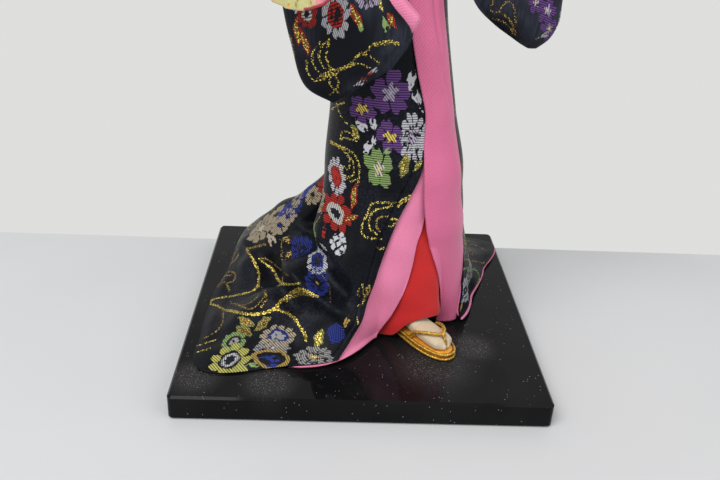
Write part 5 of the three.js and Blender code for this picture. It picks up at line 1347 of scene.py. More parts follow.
FACING_BOTTOM = FLOOR_OF_CLOTH + 1
facing_left = track((FACING_BOTTOM, 49), (25.4, 40.4), (37.3, 35.8), (48.5, 30.6), (57.4, 26.2),
                    (69, 24), (76, 23.6), (86, 25), (101, 29), (108, 26.8), (117, 22.6),
                    (129, 18.6), (HIP, 15.5), (SKIRT_TOP, 12))
facing_right = track((FACING_BOTTOM, 62), (25, 70), (45, 78), (65.8, 68), (80, 64), (92, 66),
                     (112, 65), (128, 64), (HIP, 61), (SKIRT_TOP, 50))
facing_low_left = track((FACING_BOTTOM, 26.8), (30, 28.4), (50, 28))
facing_low_right = track((FACING_BOTTOM, 32.5), (40, 31), (50, 30))
FACING_LIFT = GAP + 0.15 + CLOTH


def facing_point(u, v, inset):
    z = lerp(SKIRT_TOP, FACING_BOTTOM, v)
    deg = lerp(facing_left(z), facing_right(z), u)
    on_body = column_radius(deg, np.maximum(z, KNEE)) + FACING_LIFT
    blend = smooth((z - 50) / (KNEE - 50))
    free = lerp(facing_low_left(z), facing_low_right(z), u)
    bulge = 0.9 * np.sin(math.pi * u) * np.clip((SASH_BOTTOM - z) / 30, 0, 1)
    radius = np.maximum(lerp(free, on_body, blend), red_radius(deg, z) + CLOTH + 0.5)
    p = polar(deg, radius + bulge, z)
    folds = 0.22 * wave(p, 21, 8) * smooth((SASH_BOTTOM - z) / 20)
    fold_line = -0.6 * bell(u - 0.72 + 0.1 * np.sin(z / 17), 0.06)
    folds = folds + fold_line * smooth((z - 95) / 20) * smooth((SASH_BOTTOM - z) / 20)
    round_off = 0.3 * (np.exp(-u / 0.015) + np.exp((u - 1) / 0.015))
    out = unit(np.stack([np.sin(np.radians(deg)), -np.cos(np.radians(deg)), 0 * z], -1))
    return p + out * (folds - inset * (1 + 0 * z) - round_off * (0.5 - inset))[..., None]


U, V = np.meshgrid(np.linspace(0, 1, 70), np.linspace(0, 1, 300))
facing_outer, facing_inner = facing_point(U, V, 0.0), facing_point(U, V, CLOTH)
sheet_piece("facing_satin", facing_outer, facing_inner, "pink_satin", ["kimono_facing"], pink_satin,
            plain_facts(facing_outer, U.size))

# The red underskirt.

def red_point(u, v, inset):
    deg = u * 360
    above, upper, t = knee_split(v, RED_KNEE_ROW)
    r, z = red_curve(deg, t)
    r = np.where(above, column_radius(deg, upper) - RED_INSET, r)
    z = np.where(above, upper, z)
    folds = 0.3 * wave(polar(deg, r, z), 15, 21) * smooth(t / 0.3) * smooth((1 - t) / 0.08)
    return polar(deg, r + folds - inset, z)


U, V = np.meshgrid(np.linspace(0, 1, 260, endpoint=False), np.linspace(0, 1, 170))
sheet_piece("under_skirt_crepe", red_point(U, V, 0.0), red_point(U, V, RED_THICK), "red_crepe",
            ["under_skirt"], red_crepe, round_it=True)


# Sandals and feet.

SOLE_LENGTH, SOLE_WIDTH, SOLE_THICK, PIPING = 35.0, 13.5, 3.6, 0.55
SOLE_BOTTOM = FLOOR_OF_CLOTH
INSOLE_BOTTOM = SOLE_BOTTOM + SOLE_THICK - 0.8
INSOLE_TOP = INSOLE_BOTTOM + 0.5
FOOT_BOTTOM = INSOLE_TOP + GAP
HALF_LENGTH = SOLE_LENGTH / 2 - 2 * PIPING - GAP
HALF_WIDTH = SOLE_WIDTH / 2 - 2 * PIPING - GAP + 0.4
FOOT_LOW, FOOT_HIGH = -HALF_LENGTH + 1.6, HALF_LENGTH - 1.5
ANKLE_AHEAD = -11

# Half the foot's width and all its height, from the heel to the toes.

foot_wide = track((FOOT_LOW, 1.2), (FOOT_LOW + 1.2, 3.1), (-11, 4.2), (-4, 4.4), (4, 5), (8.5, 5.1),
                  (FOOT_HIGH - 2.2, 4.5), (FOOT_HIGH, 1.6))
foot_tall = track((FOOT_LOW, 2.5), (FOOT_LOW + 1.2, 6.5), (-10, 8.8), (-5, 7), (0, 5), (9, 4.5),
                  (FOOT_HIGH - 2.2, 3.8), (FOOT_HIGH, 1.8))


def rounded_box(turn, power):
    """The two shares of a circle that is drawn out towards a box."""
    c, d = np.cos(turn), np.sin(turn)
    return np.sign(c) * np.abs(c) ** power, np.sign(d) * np.abs(d) ** power


def sole_ring(z, extra, count=200):
    c, d = rounded_box(round_turn(count), 0.82)
    ahead = c * (HALF_LENGTH + extra)
    waist = 1 - 0.07 * bell(ahead + 5, 6)
    return point(d * (HALF_WIDTH * waist + extra), -ahead, z)


def sole_slab(*levels):
    return lofted(np.stack([sole_ring(z, extra) for z, extra in levels]))


def foot_point(ahead, deg, extra=0.0):
    c, d = np.cos(np.radians(deg)), np.sin(np.radians(deg))
    wide, half = foot_wide(ahead), foot_tall(ahead) / 2
    across = np.sign(c) * np.abs(c) ** 0.85 * wide
    up = np.where(d > 0, half * np.abs(d) ** 0.9, -half * np.abs(d) ** 0.5)
    out = unit(point(c / wide, 0 * c, d / half))
    return point(across, -ahead, FOOT_BOTTOM + half + up) + out * extra


def beaded(path, radius, pitch=0.55, closed=True):
    """A twisted gilt cord."""
    length = np.linalg.norm(np.diff(path, axis=0), axis=1).sum()
    return tube(spline(path, int(length / pitch * 5), closed), radius, 10, closed, 0.5 / pitch, 2,
                0.3)


def sandal_and_foot(side, centre, turn):
    c, s = math.cos(math.radians(turn)), math.sin(math.radians(turn))
    mirror = -1 if side == "left" else 1

    def piece(name, shape, slot, look, replaced):
        p, groups = shape
        x, y = p[:, 0] * mirror, p[:, 1]
        q = point(c * x - s * y + centre[0], s * x + c * y + centre[1], p[:, 2])
        make(f"{side}_{name}", (q, outwards(q, groups)), "figure", slot, [f"{side}_{replaced}"],
             look)

    piece("sandal_sole", sole_slab((SOLE_BOTTOM, -0.5), (SOLE_BOTTOM + 0.15, -0.1),
                                   (SOLE_BOTTOM + 0.4, 0), (INSOLE_BOTTOM - GAP - 0.3, 0),
                                   (INSOLE_BOTTOM - GAP, -0.15)),
          "sandal_sole", gold_leather, "zori_sole")
    piece("sandal_insole", sole_slab((INSOLE_BOTTOM, -0.1), (INSOLE_BOTTOM + 0.12, 0),
                                     (INSOLE_TOP - 0.12, 0), (INSOLE_TOP, -0.2)),
          "gold_leather", gold_leather, "zori_insole")
    lift = PIPING + GAP + 0.05
    for name, z in (("lower", SOLE_BOTTOM + PIPING + 0.35), ("upper", INSOLE_TOP - 0.35)):
        piece(f"sandal_{name}_cord", beaded(sole_ring(z, lift, 90), PIPING), "gold_cord",
              gold_cord, f"zori_{name}_piping")
    strap_radius, thong_radius = 0.72, 0.6
    strap_lift = 0.8 + GAP + 0.1
    straps = []
    for far in (0, 180):
        keys = [foot_point(np.float64(a), np.float64(abs(far - up)), strap_lift)
                for a, up in ((11.4, 90), (9.6, 66), (7, 44), (4, 22), (1.4, 4))]
        end = keys[-1] + np.array([0.15 if far == 0 else -0.15, 1.2, 0])
        end[2] = INSOLE_TOP + 0.5
        straps.append(beaded(np.array([*keys, end]), strap_radius, 0.7, False))
    knot = foot_point(np.float64(11.6), np.float64(90), 1.5)
    thong = np.array([knot, [0.2, -13.1, knot[2] - 2.2], [0.3, -13.3, INSOLE_TOP + 0.35]])
    straps += [ellipsoid(knot, (1.2, 1.25, 1.0), rows=12, columns=16),
               beaded(thong, thong_radius, 0.7, False)]
    piece("sandal_strap", join(*straps), "gold_cord", gold_cord, "zori_strap")

    ahead = FOOT_LOW + (FOOT_HIGH - FOOT_LOW) * (1 - np.cos(np.linspace(0, math.pi, 110))) / 2
    A, D = np.meshgrid(ahead, np.degrees(round_turn(84)), indexing="ij")
    rings = foot_point(A, D)
    x = rings[..., 0]
    split = bell(x - 0.55, 0.5) * smooth((A - 8.6) / 2.6)
    top = smooth((rings[..., 2] - FOOT_BOTTOM - 0.6) / 1.2)
    rings[..., 2] -= 1.5 * split * top
    rings[..., 1] += 1.1 * split * smooth((A - 12) / 2.2)
    seam = bell(x, 0.22) * top * smooth((9 - A) / 2) * smooth((A + 8) / 3)
    rings[..., 2] += 0.08 * seam
    sock = lofted(rings)
    t = np.linspace(0, 1, 40)[:, None]
    turns = round_turn(40)[None]
    shaft = lofted(point(track((0, 3.9), (0.3, 3.7), (0.5, 3.1), (1, 3.1))(t) * np.cos(turns),
                         track((0, 4), (0.3, 4.2), (0.5, 3.6), (1, 3.4))(t) * np.sin(turns)
                         - ANKLE_AHEAD, lerp(FOOT_BOTTOM + 2.5, 33.0, t)))
    piece("tabi_sock", join(sock, shaft), "white_cotton", tabi_cotton, "foot_tabi")


sandal_and_foot("right", (24.7, -30), 35.6)
sandal_and_foot("left", (24.5, 9.5), 17)

# The upper body, which sleeves and collars clear: its reach to the sides and to the front.

BODICE_BOTTOM = SKIRT_TOP + 1
bodice_wide = track((BODICE_BOTTOM, 20.2), (SASH_TOP, 19.6), (CHEST, 19), (224, 19.8),
                    (SHOULDER, 18.8), (234, 15.2), (BODICE_RIM, 9.8))
bodice_deep = track((BODICE_BOTTOM, 16.8), (SASH_TOP, 15.8), (CHEST, 14.6), (224, 13),
                    (SHOULDER, 11.6), (234, 10.3), (BODICE_RIM, 9.2))
SASH_WIDE, SASH_DEEP = 23.2, 19.8


def bodice_radius(deg, z):
    return ellipse(bodice_wide(z), bodice_deep(z), deg)


def clear_of_body(p, extra):
    """Points moved straight out of the bodice and the sash, to stand that far off them."""
    deg, z = from_axis(p)[0], p[..., 2]
    least = np.where(z > BODICE_BOTTOM, bodice_radius(deg, np.minimum(z, BODICE_RIM)), 0)
    sash = ellipse(SASH_WIDE, SASH_DEEP, deg) * smooth((z - SASH_BOTTOM + 1.5) / 1.5)
    return pushed_out(p, np.maximum(least, sash * smooth((SASH_TOP + 6 - z) / 3)) + extra)


# Sleeves: a brocade shell, open along its inner edge, round a padded satin pouch. Each section
# is given by the ends of its inner and its outer edge and by its thickness.

RIGHT_SLEEVE = [
    ((-13, 3, 236), (-34, -31, 193.5), 4), ((-15, 2.5, 227), (-36.5, -32, 185), 13),
    ((-18.5, -3, 213), (-40, -31.5, 173), 13.5), ((-24, -12, 197), (-39.5, -30.5, 161), 13.5),
    ((-18, -22, 178), (-36, -29, 150), 14), ((-6, -28, 157), (-33, -28, 144), 14),
    ((4, -31.5, 143), (-29.5, -27.5, 128), 13), ((11.5, -33.5, 133), (-23.5, -27, 112), 8),
    ((5.5, -33, 121), (-14, -27, 106.5), 3),
]
LEFT_SLEEVE = [
    ((16, 3.5, 235), (79, -9, 227), 4), ((18, 3.5, 226), (80, -9, 220), 13),
    ((21.5, 1.5, 213), (79, -8, 206), 13.5), ((29, 0, 197), (78, -6, 190), 13),
    ((30.5, 0, 175), (76, -5, 175), 13), ((32, 0, 156), (72, -4, 160), 12.5),
    ((35.5, 0, 140), (68.5, -2, 142), 10), ((44.5, 0, 131), (68, -1, 132), 7.5),
    ((53, 0, 125.6), (66, -1, 126.8), 5), ((58.5, 0, 122.4), (61.5, 0, 122.4), 2.5),
]


def centripetal(points, t):
    """The curve that the CAD draws through the same points."""
    p = np.asarray(points, float)
    p = np.concatenate([[2 * p[0] - p[1]], p, [2 * p[-1] - p[-2]]])
    n = len(points) - 1
    i = np.minimum((np.asarray(t) * n).astype(int), n - 1)
    w = (np.asarray(t) * n - i)[:, None]
    a, b, c, d = p[i], p[i + 1], p[i + 2], p[i + 3]
    h0, h1, h2 = (np.linalg.norm(y - x, axis=1)[:, None] ** 0.5
                  for x, y in ((a, b), (b, c), (c, d)))
    m1 = ((b - a) / h0 - (c - a) / (h0 + h1) + (c - b) / h1) * h1
    m2 = ((c - b) / h1 - (d - b) / (h1 + h2) + (d - c) / h2) * h1
    return (b + m1 * w + (-3 * b + 3 * c - 2 * m1 - m2) * w ** 2
            + (2 * b - 2 * c + m1 + m2) * w ** 3)


BEND_AT = 0.36      # the share of each half row that the bend by the inner edge takes


def sleeve_grid(stations, skin, past, count, rows, closing=2.0, blunt=False):
    """Points round each section, from the upper inner edge over the tip to the lower one."""
    t = (1 - np.cos(np.linspace(0, math.pi, rows))) / 2 * 0.5 + np.linspace(0, 1, rows) * 0.5
    near = centripetal([s[0] for s in stations], t)
    far = centripetal([s[1] for s in stations], t)
    down = unit(np.gradient(near, axis=0)) + unit(np.gradient(far, axis=0))
    across = far - near
    width = np.linalg.norm(across, axis=1)
    across = across / width[:, None]
    normal = unit(np.cross(across, down))
    last = len(stations) - 1
    thick = track(*[(i / last, s[2]) for i, s in enumerate(stations)])(t)
    end = np.clip(np.minimum(t, 1 - t) / 0.035, 0, 1)
    half = np.maximum(thick / 2 * np.sqrt(1 - (1 - end) ** 2) - skin, 0.06)
    past = past(t) * np.ones(rows)
    bend = 0.3 * width
    grid = np.zeros((rows, 2 * count + 1, 3))
    q = np.linspace(0, 1, count + 1)
    for r in range(rows):
        span = width[r] - skin - bend[r]
        turn = (np.clip(q, BEND_AT, 1) - BEND_AT) / (1 - BEND_AT) * math.pi / 2
        reach = np.where(q < BEND_AT, -past[r] + (bend[r] + past[r]) * q / BEND_AT,
                         bend[r] + span * np.sin(turn))
        shut = smooth((t[r] - closing) / 0.05)
        size = track((-past[r] - 0.01, lerp(0.6, 0.1, shut)),
                     (bend[r] * 0.45, lerp(0.87, 0.6, shut)), (bend[r], 1.0))(reach)
        if blunt:
            size = size * np.sqrt(1 - (1 - np.clip((reach + past[r]) / 2.2, 0, 1)) ** 2)
        lift = size * np.cos(turn) * half[r]
        row = np.concatenate([lift, -lift[-2::-1]])
        along = np.concatenate([reach, reach[-2::-1]])
        grid[r] = near[r] + across[r] * along[:, None] + normal[r] * row[:, None]
    return grid, t


def holed(outer, inner, hole):
    """A closed sheet with an opening between two rows and two columns."""
    points, (faces,) = closed_sheet(outer, inner)
    r0, r1, c0, c1 = hole
    rows, columns = outer.shape[:2]
    back = rows * columns
    i, j = np.meshgrid(np.arange(columns - 1), np.arange(rows - 1))
    open_cells = ((j >= r0) & (j < r1) & (i >= c0) & (i < c1)).ravel()
    rest = np.zeros(len(faces) - 2 * len(open_cells), bool)
    number = np.arange(back).reshape(rows, columns)
    ring = np.concatenate([number[r0, c0:c1], number[r0:r1, c1], number[r1, c1:c0:-1],
                           number[r1:r0:-1, c0]])
    after = np.roll(ring, -1)
    strip = np.stack([ring, after, after + back, ring + back], 1)
    if signed_volume(points, [faces]) > 0:
        strip = strip[:, ::-1]
    return points, [np.concatenate([faces[~np.concatenate([open_cells, open_cells, rest])], strip])]


def parted(p, line, room):
    """Points pushed straight away from a line, so that the cloth opens round the wrist there."""
    near, away, _ = nearest(np.asarray(line, float), p)
    near = np.maximum(near, 1e-6)
    return p + away * (((near ** 4 + room ** 4) ** 0.25 - near) / near)[..., None]


BODY_ROOM, WRIST_ROOM = 1.2, 3.4    # from the body and from a wrist's middle to a sleeve's face
SLEEVE_GRID, POUCH_GRID = (70, 230), (60, 200)


def sleeve(name, stations, wrist, cuff, bulge, closing, figures, lines, seed):
    """One sleeve and its pouch, with an opening at the cuff for the wrist."""
    to_edge = track((0, 0), (1, 0))
    outer, t = sleeve_grid(stations, 0.0, to_edge, *SLEEVE_GRID, closing)
    inner, _ = sleeve_grid(stations, CLOTH, to_edge, *SLEEVE_GRID, closing)
    folds = 0.32 * wave(outer, 21, seed) * smooth(np.minimum(t, 1 - t) / 0.08)[:, None]
    lifted = unit(outer - inner) * folds[..., None]
    outer = parted(clear_of_body(outer + lifted, BODY_ROOM), wrist, WRIST_ROOM)
    inner = parted(clear_of_body(inner + lifted, BODY_ROOM - CLOTH), wrist, WRIST_ROOM - CLOTH)
    cloth = Cloth(outer, np.repeat(outer.mean(1), outer.shape[1], 0))
    seen = (cloth.facing > 0.02) & (cloth.py > -2)
    cloth.scattered(np.random.default_rng(seed), ~seen, 60, WOVEN, 9.0)
    cloth.weave(figures, lines)
    rows = [int(row) for row in np.searchsorted(t, cuff[:2])]
    made = make(f"{name}_sleeve_brocade", holed(outer, inner, (*rows, *cuff[2:])), "figure",
                "brocade", [f"{name}_sleeve"], sleeve_brocade, cloth.facts(len(cloth.p)))
    declare_sheet(outer)
    pouch, _ = sleeve_grid(stations, 2 * CLOTH, bulge, *POUCH_GRID, blunt=True)
    ring = clear_of_body(pouch[3:-3], 1.0)[:, :-1]
    puff = 0.2 * wave(ring, 9, seed + 3)
    ring = ring + unit(ring - ring.mean(1, keepdims=True)) * puff[..., None]
    made = make(f"{name}_sleeve_pouch", lofted(ring), "figure", "pink_satin",
                [f"{name}_sleeve_lining"], lining_satin, plain_facts(ring, 2))


sleeve("right", RIGHT_SLEEVE, [(-31, -21, 197), (-34.3, -29.5, 187.5), (-31, -38, 185.5)],
       (0.045, 0.15, 57, 74),
       track((0, -3), (0.15, -1), (0.35, 0.6), (0.6, 1.6), (0.76, 4.2), (0.83, 4.2), (0.87, 0),
             (0.9, -4), (1, -4)),
       0.86, SLEEVE_FIGURES, SLEEVE_LINES, 31)
sleeve("left", LEFT_SLEEVE, [(60, -4.7, 221.2), (76.5, -8.5, 220.3), (84, -11.1, 217.7)],
       (0.035, 0.19, 66, 74), track((0, -0.6), (1, -0.6)), 2.0, LEFT_SLEEVE_FIGURES,
       LEFT_SLEEVE_LINES, 37)

# The open fan.

FAN_RADIUS, FAN_RIBS, FAN_OPENING, FAN_YAW, LEAF_INNER = 38.5, 7, 60.0, 50.0, 15.0
FAN_PIVOT = np.array([-26.5, -44.5, 180.0])
PLEAT, LEAF_THICK = 0.55, 0.35
LEAF_OPENING, LEAF_FOLDS = FAN_OPENING + 3, (FAN_RIBS - 1) * 2


def turned(p, axis, deg):
    return p @ np.array(Matrix.Rotation(math.radians(deg), 3, axis)).T


def fan_at(p):
    p = turned(turned(p, "X", -2), "Y", -4)
    return turned(p, "Z", -FAN_YAW) + FAN_PIVOT


def leaf_point(u, v, back):
    angle = np.radians((u - 0.5) * LEAF_OPENING)
    folds = u * LEAF_FOLDS
    zigzag = 1 - 2 * np.abs(np.mod(folds, 2) - np.where(np.mod(folds, 2) > 1, 2, 0))
    radius = lerp(LEAF_INNER, FAN_RADIUS, v)
    return point(np.sin(angle) * radius, PLEAT * zigzag * lerp(0.4, 1, v) + back,
                 -np.cos(angle) * radius)


U, V = np.meshgrid(np.linspace(0, 1, LEAF_FOLDS * 8 + 1), np.linspace(0, 1, 90))
leaf_back = PLEAT + LEAF_THICK + GAP + 0.1
leaf_outer, leaf_inner = leaf_point(U, V, -leaf_back), leaf_point(U, V, LEAF_THICK - leaf_back)
paint = np.broadcast_to([0.58, 0.56, 0.24], (*U.shape, 3))


def washed(tone, share):
    """The fan's paint with another tone laid over it."""
    return lerp(paint, np.array(tone), share[..., None])


turn, reach = (U - 0.5) * LEAF_OPENING, lerp(LEAF_INNER, FAN_RADIUS, V)
# The peach wash towards the low side of the fan and the pink wash towards the high side are painted
# light and painted shade of the folds.
for tone, share in (((0.86, 0.52, 0.32), smooth((0.3 - U) / 0.14)),
                    ((0.76, 0.24, 0.32), smooth((U - 0.72) / 0.1)),
                    ((0.82, 0.75, 0.5), smooth((0.3 - V) / 0.3) * 0.7)):
    paint = washed(tone, share)
draw = np.random.default_rng(5)
for _ in range(46):
    a, r = draw.uniform(-22, 16), draw.uniform(20, 38)
    size, tone = draw.uniform(0.35, 0.9), draw.integers(3)
    dot = np.hypot(reach * np.radians(turn - a), reach - r) - size
    paint = washed(([0.6, 0.06, 0.02], [0.75, 0.3, 0.03], [0.3, 0.35, 0.06])[tone],
                   smooth(-dot / 0.3 + 0.5))
rim = smooth((V - 0.955) / 0.02)
paint = washed((0.62, 0.46, 0.2), 0.7 * rim * (U < 0.62))
paint = washed((0.35, 0.02, 0.03), rim * (U >= 0.62))


def fan_look(name):
    look = Look(name)
    grain = look.noise(0.5, 3.0)
    look.set(Base_Color=look.scaled(look.paint("paint"), look.ramp(grain, 0.2, 0.8, 0.82, 1.06)),
             Roughness=0.6)
    return look.bump(grain, 0.06, 0.5)


make("fan_paper", closed_sheet(fan_at(leaf_outer), fan_at(leaf_inner)), "figure", "fan_paper",
     ["fan_leaf"], fan_look("fan_paper"), {"paint": np.concatenate([paint.reshape(-1, 3)] * 2)})


# Hands, smoothed from the CAD's.

HAND_GROWTH = 0.07     # what the smoothing takes off


def softened(source, name, look):
    """A rounded copy of a CAD node's form, which replaces it."""
    made = bpy.data.objects.new(name, nodes[source].data.copy())
    bpy.context.scene.collection.objects.link(made)
    remesh = made.modifiers.new("remesh", "REMESH")
    remesh.mode, remesh.voxel_size = "VOXEL", 0.22 * MM
    soften = made.modifiers.new("smooth", "SMOOTH")
    soften.factor, soften.iterations = 0.5, 9
    bpy.context.view_layer.update()
    shaped = bpy.data.meshes.new_from_object(
        made.evaluated_get(bpy.context.evaluated_depsgraph_get()))
    made.modifiers.clear()
    made.data = shaped
    shaped.name = name
    co, no = np.zeros((2, len(shaped.vertices) * 3), np.float32)
    shaped.vertices.foreach_get("co", co)
    shaped.vertices.foreach_get("normal", no)
    shaped.vertices.foreach_set("co", co + no * HAND_GROWTH * MM)
    shaped.update()
    finished(made, "figure", "doll_skin", [source], look)


def skin_look(name, facts=()):
    """Painted plaster, with further tones where the facts say."""
    look = Look(name)
    colour = look.mix(look.ramp(look.noise(6.0, 3.0), 0.35, 0.7), (0.86, 0.79, 0.71),
                      (0.82, 0.74, 0.66))
    for key, tone in facts:
        colour = look.mix(look.fact(key), colour, tone)
    look.set(Base_Color=colour, Roughness=0.46, Specular_IOR_Level=0.35,
             Subsurface_Weight=0.06, Subsurface_Scale=0.002)
    return look.bump(look.noise(0.7, 2.0), 0.015, 0.5)


skin = skin_look("doll_skin")
for side in ("right", "left"):
    softened(f"{side}_hand", f"{side}_hand_moulded", skin)


# The upper garment.

def notch_top(deg):
    """How high the garment reaches: under the white collar in front, else to its rim."""
    z = np.linspace(BODICE_BOTTOM, BODICE_RIM, 400)[:, None]
    away = (polar(deg, bodice_radius(deg, z), z) - [NECK_X, -13, 239.5]) / [6.2, 8, 6.8]
    free = (away ** 2).sum(-1) > 1
    notched = np.where(free.all(0), BODICE_RIM, z[np.argmin(free, axis=0), 0])
    return np.minimum(notched, track((0, 228.5), (30, 230.5), (62, 234), (92, 236),
                                     (132, BODICE_RIM))(np.abs(deg)))


NECK_X = 2.0
deg = np.linspace(0, 360, 240, endpoint=False)
Z = lerp(BODICE_BOTTOM, notch_top(np.mod(deg + 180, 360) - 180), np.linspace(0, 1, 120)[:, None])
share = np.linspace(0, 1, 120)[:, None] * np.ones_like(Z)
R = bodice_radius(deg, Z)
R = R + (0.18 * wave(polar(deg, R, Z), 13, 51) * smooth(share / 0.1) * smooth((1 - share) / 0.1))
bodice_outer, bodice_inner = polar(deg, R, Z), polar(deg, R - CLOTH, Z)
cloth = Cloth(bodice_outer)
cloth.scattered(np.random.default_rng(41), cloth.p[:, 2] > SASH_TOP, 40, WOVEN, 8.5)
sheet_piece("bodice_brocade", bodice_outer, bodice_inner, "brocade", ["kimono_bodice"],
            black_brocade, cloth.facts(len(cloth.p)), True)

# Collars, from the back of the neck to the front; the share is 0 at the back.

collar_heading = track((0, 180), (0.25, 132), (0.45, 92), (0.6, 62), (0.75, 30), (0.88, 3),
                       (1, -22))
collar_reach = track((0, 11.6), (0.25, 10.9), (0.45, 10.4), (0.6, 10.4))
outer_low = track((0, 235), (0.25, 235.4), (0.45, 235), (0.6, 231), (0.75, 223), (0.88, 215),
                  (1, 208.4))
outer_high = track((0, 241.5), (0.25, 241), (0.45, 239.8), (0.6, 236.5), (0.75, 229.5),
                   (0.88, 221.5), (1, 214.5))
white_low = track((0, 238), (0.25, 238), (0.45, 237.2), (0.6, 233.5), (0.75, 227), (0.88, 219.5))
white_high = track((0, 243), (0.25, 242.6), (0.45, 241.6), (0.6, 239.6), (0.75, 236.6),
                   (0.88, 232.6))


def collar_point(low, high, u, v, lift, crossing):
    share, side = np.abs(u), np.where(u < 0, -1, 1)
    lap = np.where(side > 0, crossing * np.clip((share - 0.66) / 0.14, 0, 1), 0)
    at = collar_heading(share)
    z = lerp(low(share), high(share), v)
    on = bodice_radius(at, np.minimum(z, BODICE_RIM))
    free = np.maximum(collar_reach(share), on)
    radius = lerp(on, free, np.clip((z - 229) / 8, 0, 1))
    return polar(side * at, radius + lift + lap, z)


def collar(name, node, slot, low, high, end, lift, thick, crossing, look, woven):
    """A band round the neck, rounded over its width."""
    U, V = np.meshgrid(np.linspace(-end, end, 420), np.linspace(0, 1, 34))
    roll = 0.22 * np.sin(math.pi * V) ** 0.6
    outer = collar_point(low, high, U, V, lift + roll - 0.15, crossing)
    inner = collar_point(low, high, U, V, lift - thick, crossing)
    facts = None
    if woven:
        cloth = Cloth(outer)
        cloth.scattered(np.random.default_rng(43), np.ones(len(cloth.p), bool), 26, WOVEN, 7)
        facts = cloth.facts(len(cloth.p))
    sheet_piece(name, outer, inner, slot, [node], look, facts)


WHITE_THICK, OUTER_THICK = 0.7, 1.0
INNER_LIFT = GAP + 0.5 + WHITE_THICK
OUTER_LIFT = INNER_LIFT + GAP + 0.3 + OUTER_THICK
collar("white_collar_silk", "inner_collar", "white_silk", white_low, white_high, 0.92, INNER_LIFT,
       WHITE_THICK, 0.85, white_silk, False)
collar("collar_brocade", "kimono_collar", "brocade", outer_low, outer_high, 1.0, OUTER_LIFT,
       OUTER_THICK, 1.4, black_brocade, True)

# Sash, back knot, cord and scarf.

SASH_FIGURES = [
    ("mum", 6.5, ((0.8, 0.55, 0.12), (0.6, 0.04, 0.03), WHITE)),
    ("blossom", 5.5, (CREAM, (0.7, 0.2, 0.2), GOLD)),
    ("ringed", 5.5, ((0.75, 0.5, 0.1), (0.04, 0.16, 0.12), CREAM)),
    ("leaf", 4.2, ((0.05, 0.2, 0.12), GOLD)),
    ("swirl", 8.0, (GOLD,)),
]
SASH_MIDDLE = 186.0


def sash_ring(z, grown):
    deg = np.degrees(round_turn(300))
    return polar(deg, ellipse(SASH_WIDE + grown, SASH_DEEP + grown, deg), z)


z = np.linspace(SASH_BOTTOM, SASH_TOP, 90)
edge = -0.55 * (np.exp(-(z - SASH_BOTTOM) / 0.5) + np.exp(-(SASH_TOP - z) / 0.5))
pull = -0.55 * bell(z - SASH_MIDDLE, 2.2)
sash_outer = np.stack([sash_ring(h, e) for h, e in zip(z, edge + pull)])
sash_inner = np.stack([sash_ring(h, -1.8) for h in z])
step = 0.4 * smooth((z - SASH_TOP + 9) / 0.4)[:, None]
sash_outer = sash_outer + unit(sash_outer - sash_inner) * (step - 0.4)[..., None]
cloth = Cloth(sash_outer)
cloth.scattered(np.random.default_rng(47), np.ones(len(cloth.p), bool), 70, SASH_FIGURES, 9)
sheet_piece("sash_brocade", sash_outer, sash_inner, "sash_brocade", ["obi_sash"], red_brocade,
            cloth.facts(len(cloth.p)), True)

KNOT_WIDE, KNOT_TALL = 16, 17      # half of each
knot_size = track((-1, 0.82), (-0.8, 0.96), (-0.2, 1), (0.5, 0.97), (0.85, 0.86), (1, 0.66))
back = np.sin(np.linspace(-math.pi / 2, math.pi / 2, 90))
size = knot_size(back)[:, None]
side, high = rounded_box(round_turn(220)[None], 0.45)
side, high = side * KNOT_WIDE * size, high * KNOT_TALL * size
deep = SASH_DEEP + 3.5 + back[:, None] * 8
knot_rings = point(axis_x(SASH_MIDDLE) + side, deep, SASH_MIDDLE + 0.5 + high)
behind = smooth((back[:, None] + 0.4) / 0.6)
sink = 1.1 * bell(high + 8, 1.3) * behind
crease = 0.5 * bell(high - 9 - 0.03 * side ** 2, 0.9) * behind
knot_rings[..., 1] -= sink + crease
knot_rings[..., 1] += 0.25 * wave(knot_rings, 12, 61)
x = knot_rings[..., 0] - axis_x(SASH_MIDDLE)
limit = SASH_DEEP * arch(x / SASH_WIDE) + 0.35
knot_rings[..., 1] = np.maximum(knot_rings[..., 1], limit)
caps = []
for end in (0, -1):
    rim = knot_rings[end]
    centre = np.array([axis_x(SASH_MIDDLE), rim[:, 1].mean(), SASH_MIDDLE + 0.5])
    inner = [lerp(centre, rim, share) for share in np.linspace(0.04, 0.96, 24)]
    caps.append(inner if end == 0 else inner[::-1])
knot_rings = np.concatenate([caps[0], knot_rings, caps[1]])
cloth = Cloth(knot_rings, np.array([axis_x(SASH_MIDDLE), SASH_DEEP + 4, SASH_MIDDLE]))
cloth.scattered(np.random.default_rng(53), cloth.p[:, 1] > SASH_DEEP + 4, 26, SASH_FIGURES, 9)
knot = make("sash_knot", lofted(knot_rings), "figure", "sash_brocade", ["obi_knot"], red_brocade,
            cloth.facts(2))

CORD = 1.1
lift = CORD - 0.7
deg = np.linspace(0, 360, 900, endpoint=False)
cord_path = polar(deg, ellipse(SASH_WIDE + lift, SASH_DEEP + lift, deg), SASH_MIDDLE)
tie = polar(0, SASH_DEEP + GAP + 1.2, SASH_MIDDLE)
wrap = round_turn(60)
bands = [tube(tie + point(dx, -1.35 * np.cos(wrap), 1.75 * np.sin(wrap)), 0.55, 8, True)
         for dx in (-1.1, 0.0, 1.1)]
make("sash_cord", join(tube(cord_path, CORD, 14, True, 0.3, 3, 0.22),
                       ellipsoid(tie, (2.4, 1.3, 1.6)), *bands),
     "figure", "gold_cord", ["obi_cord"], gold_cord)

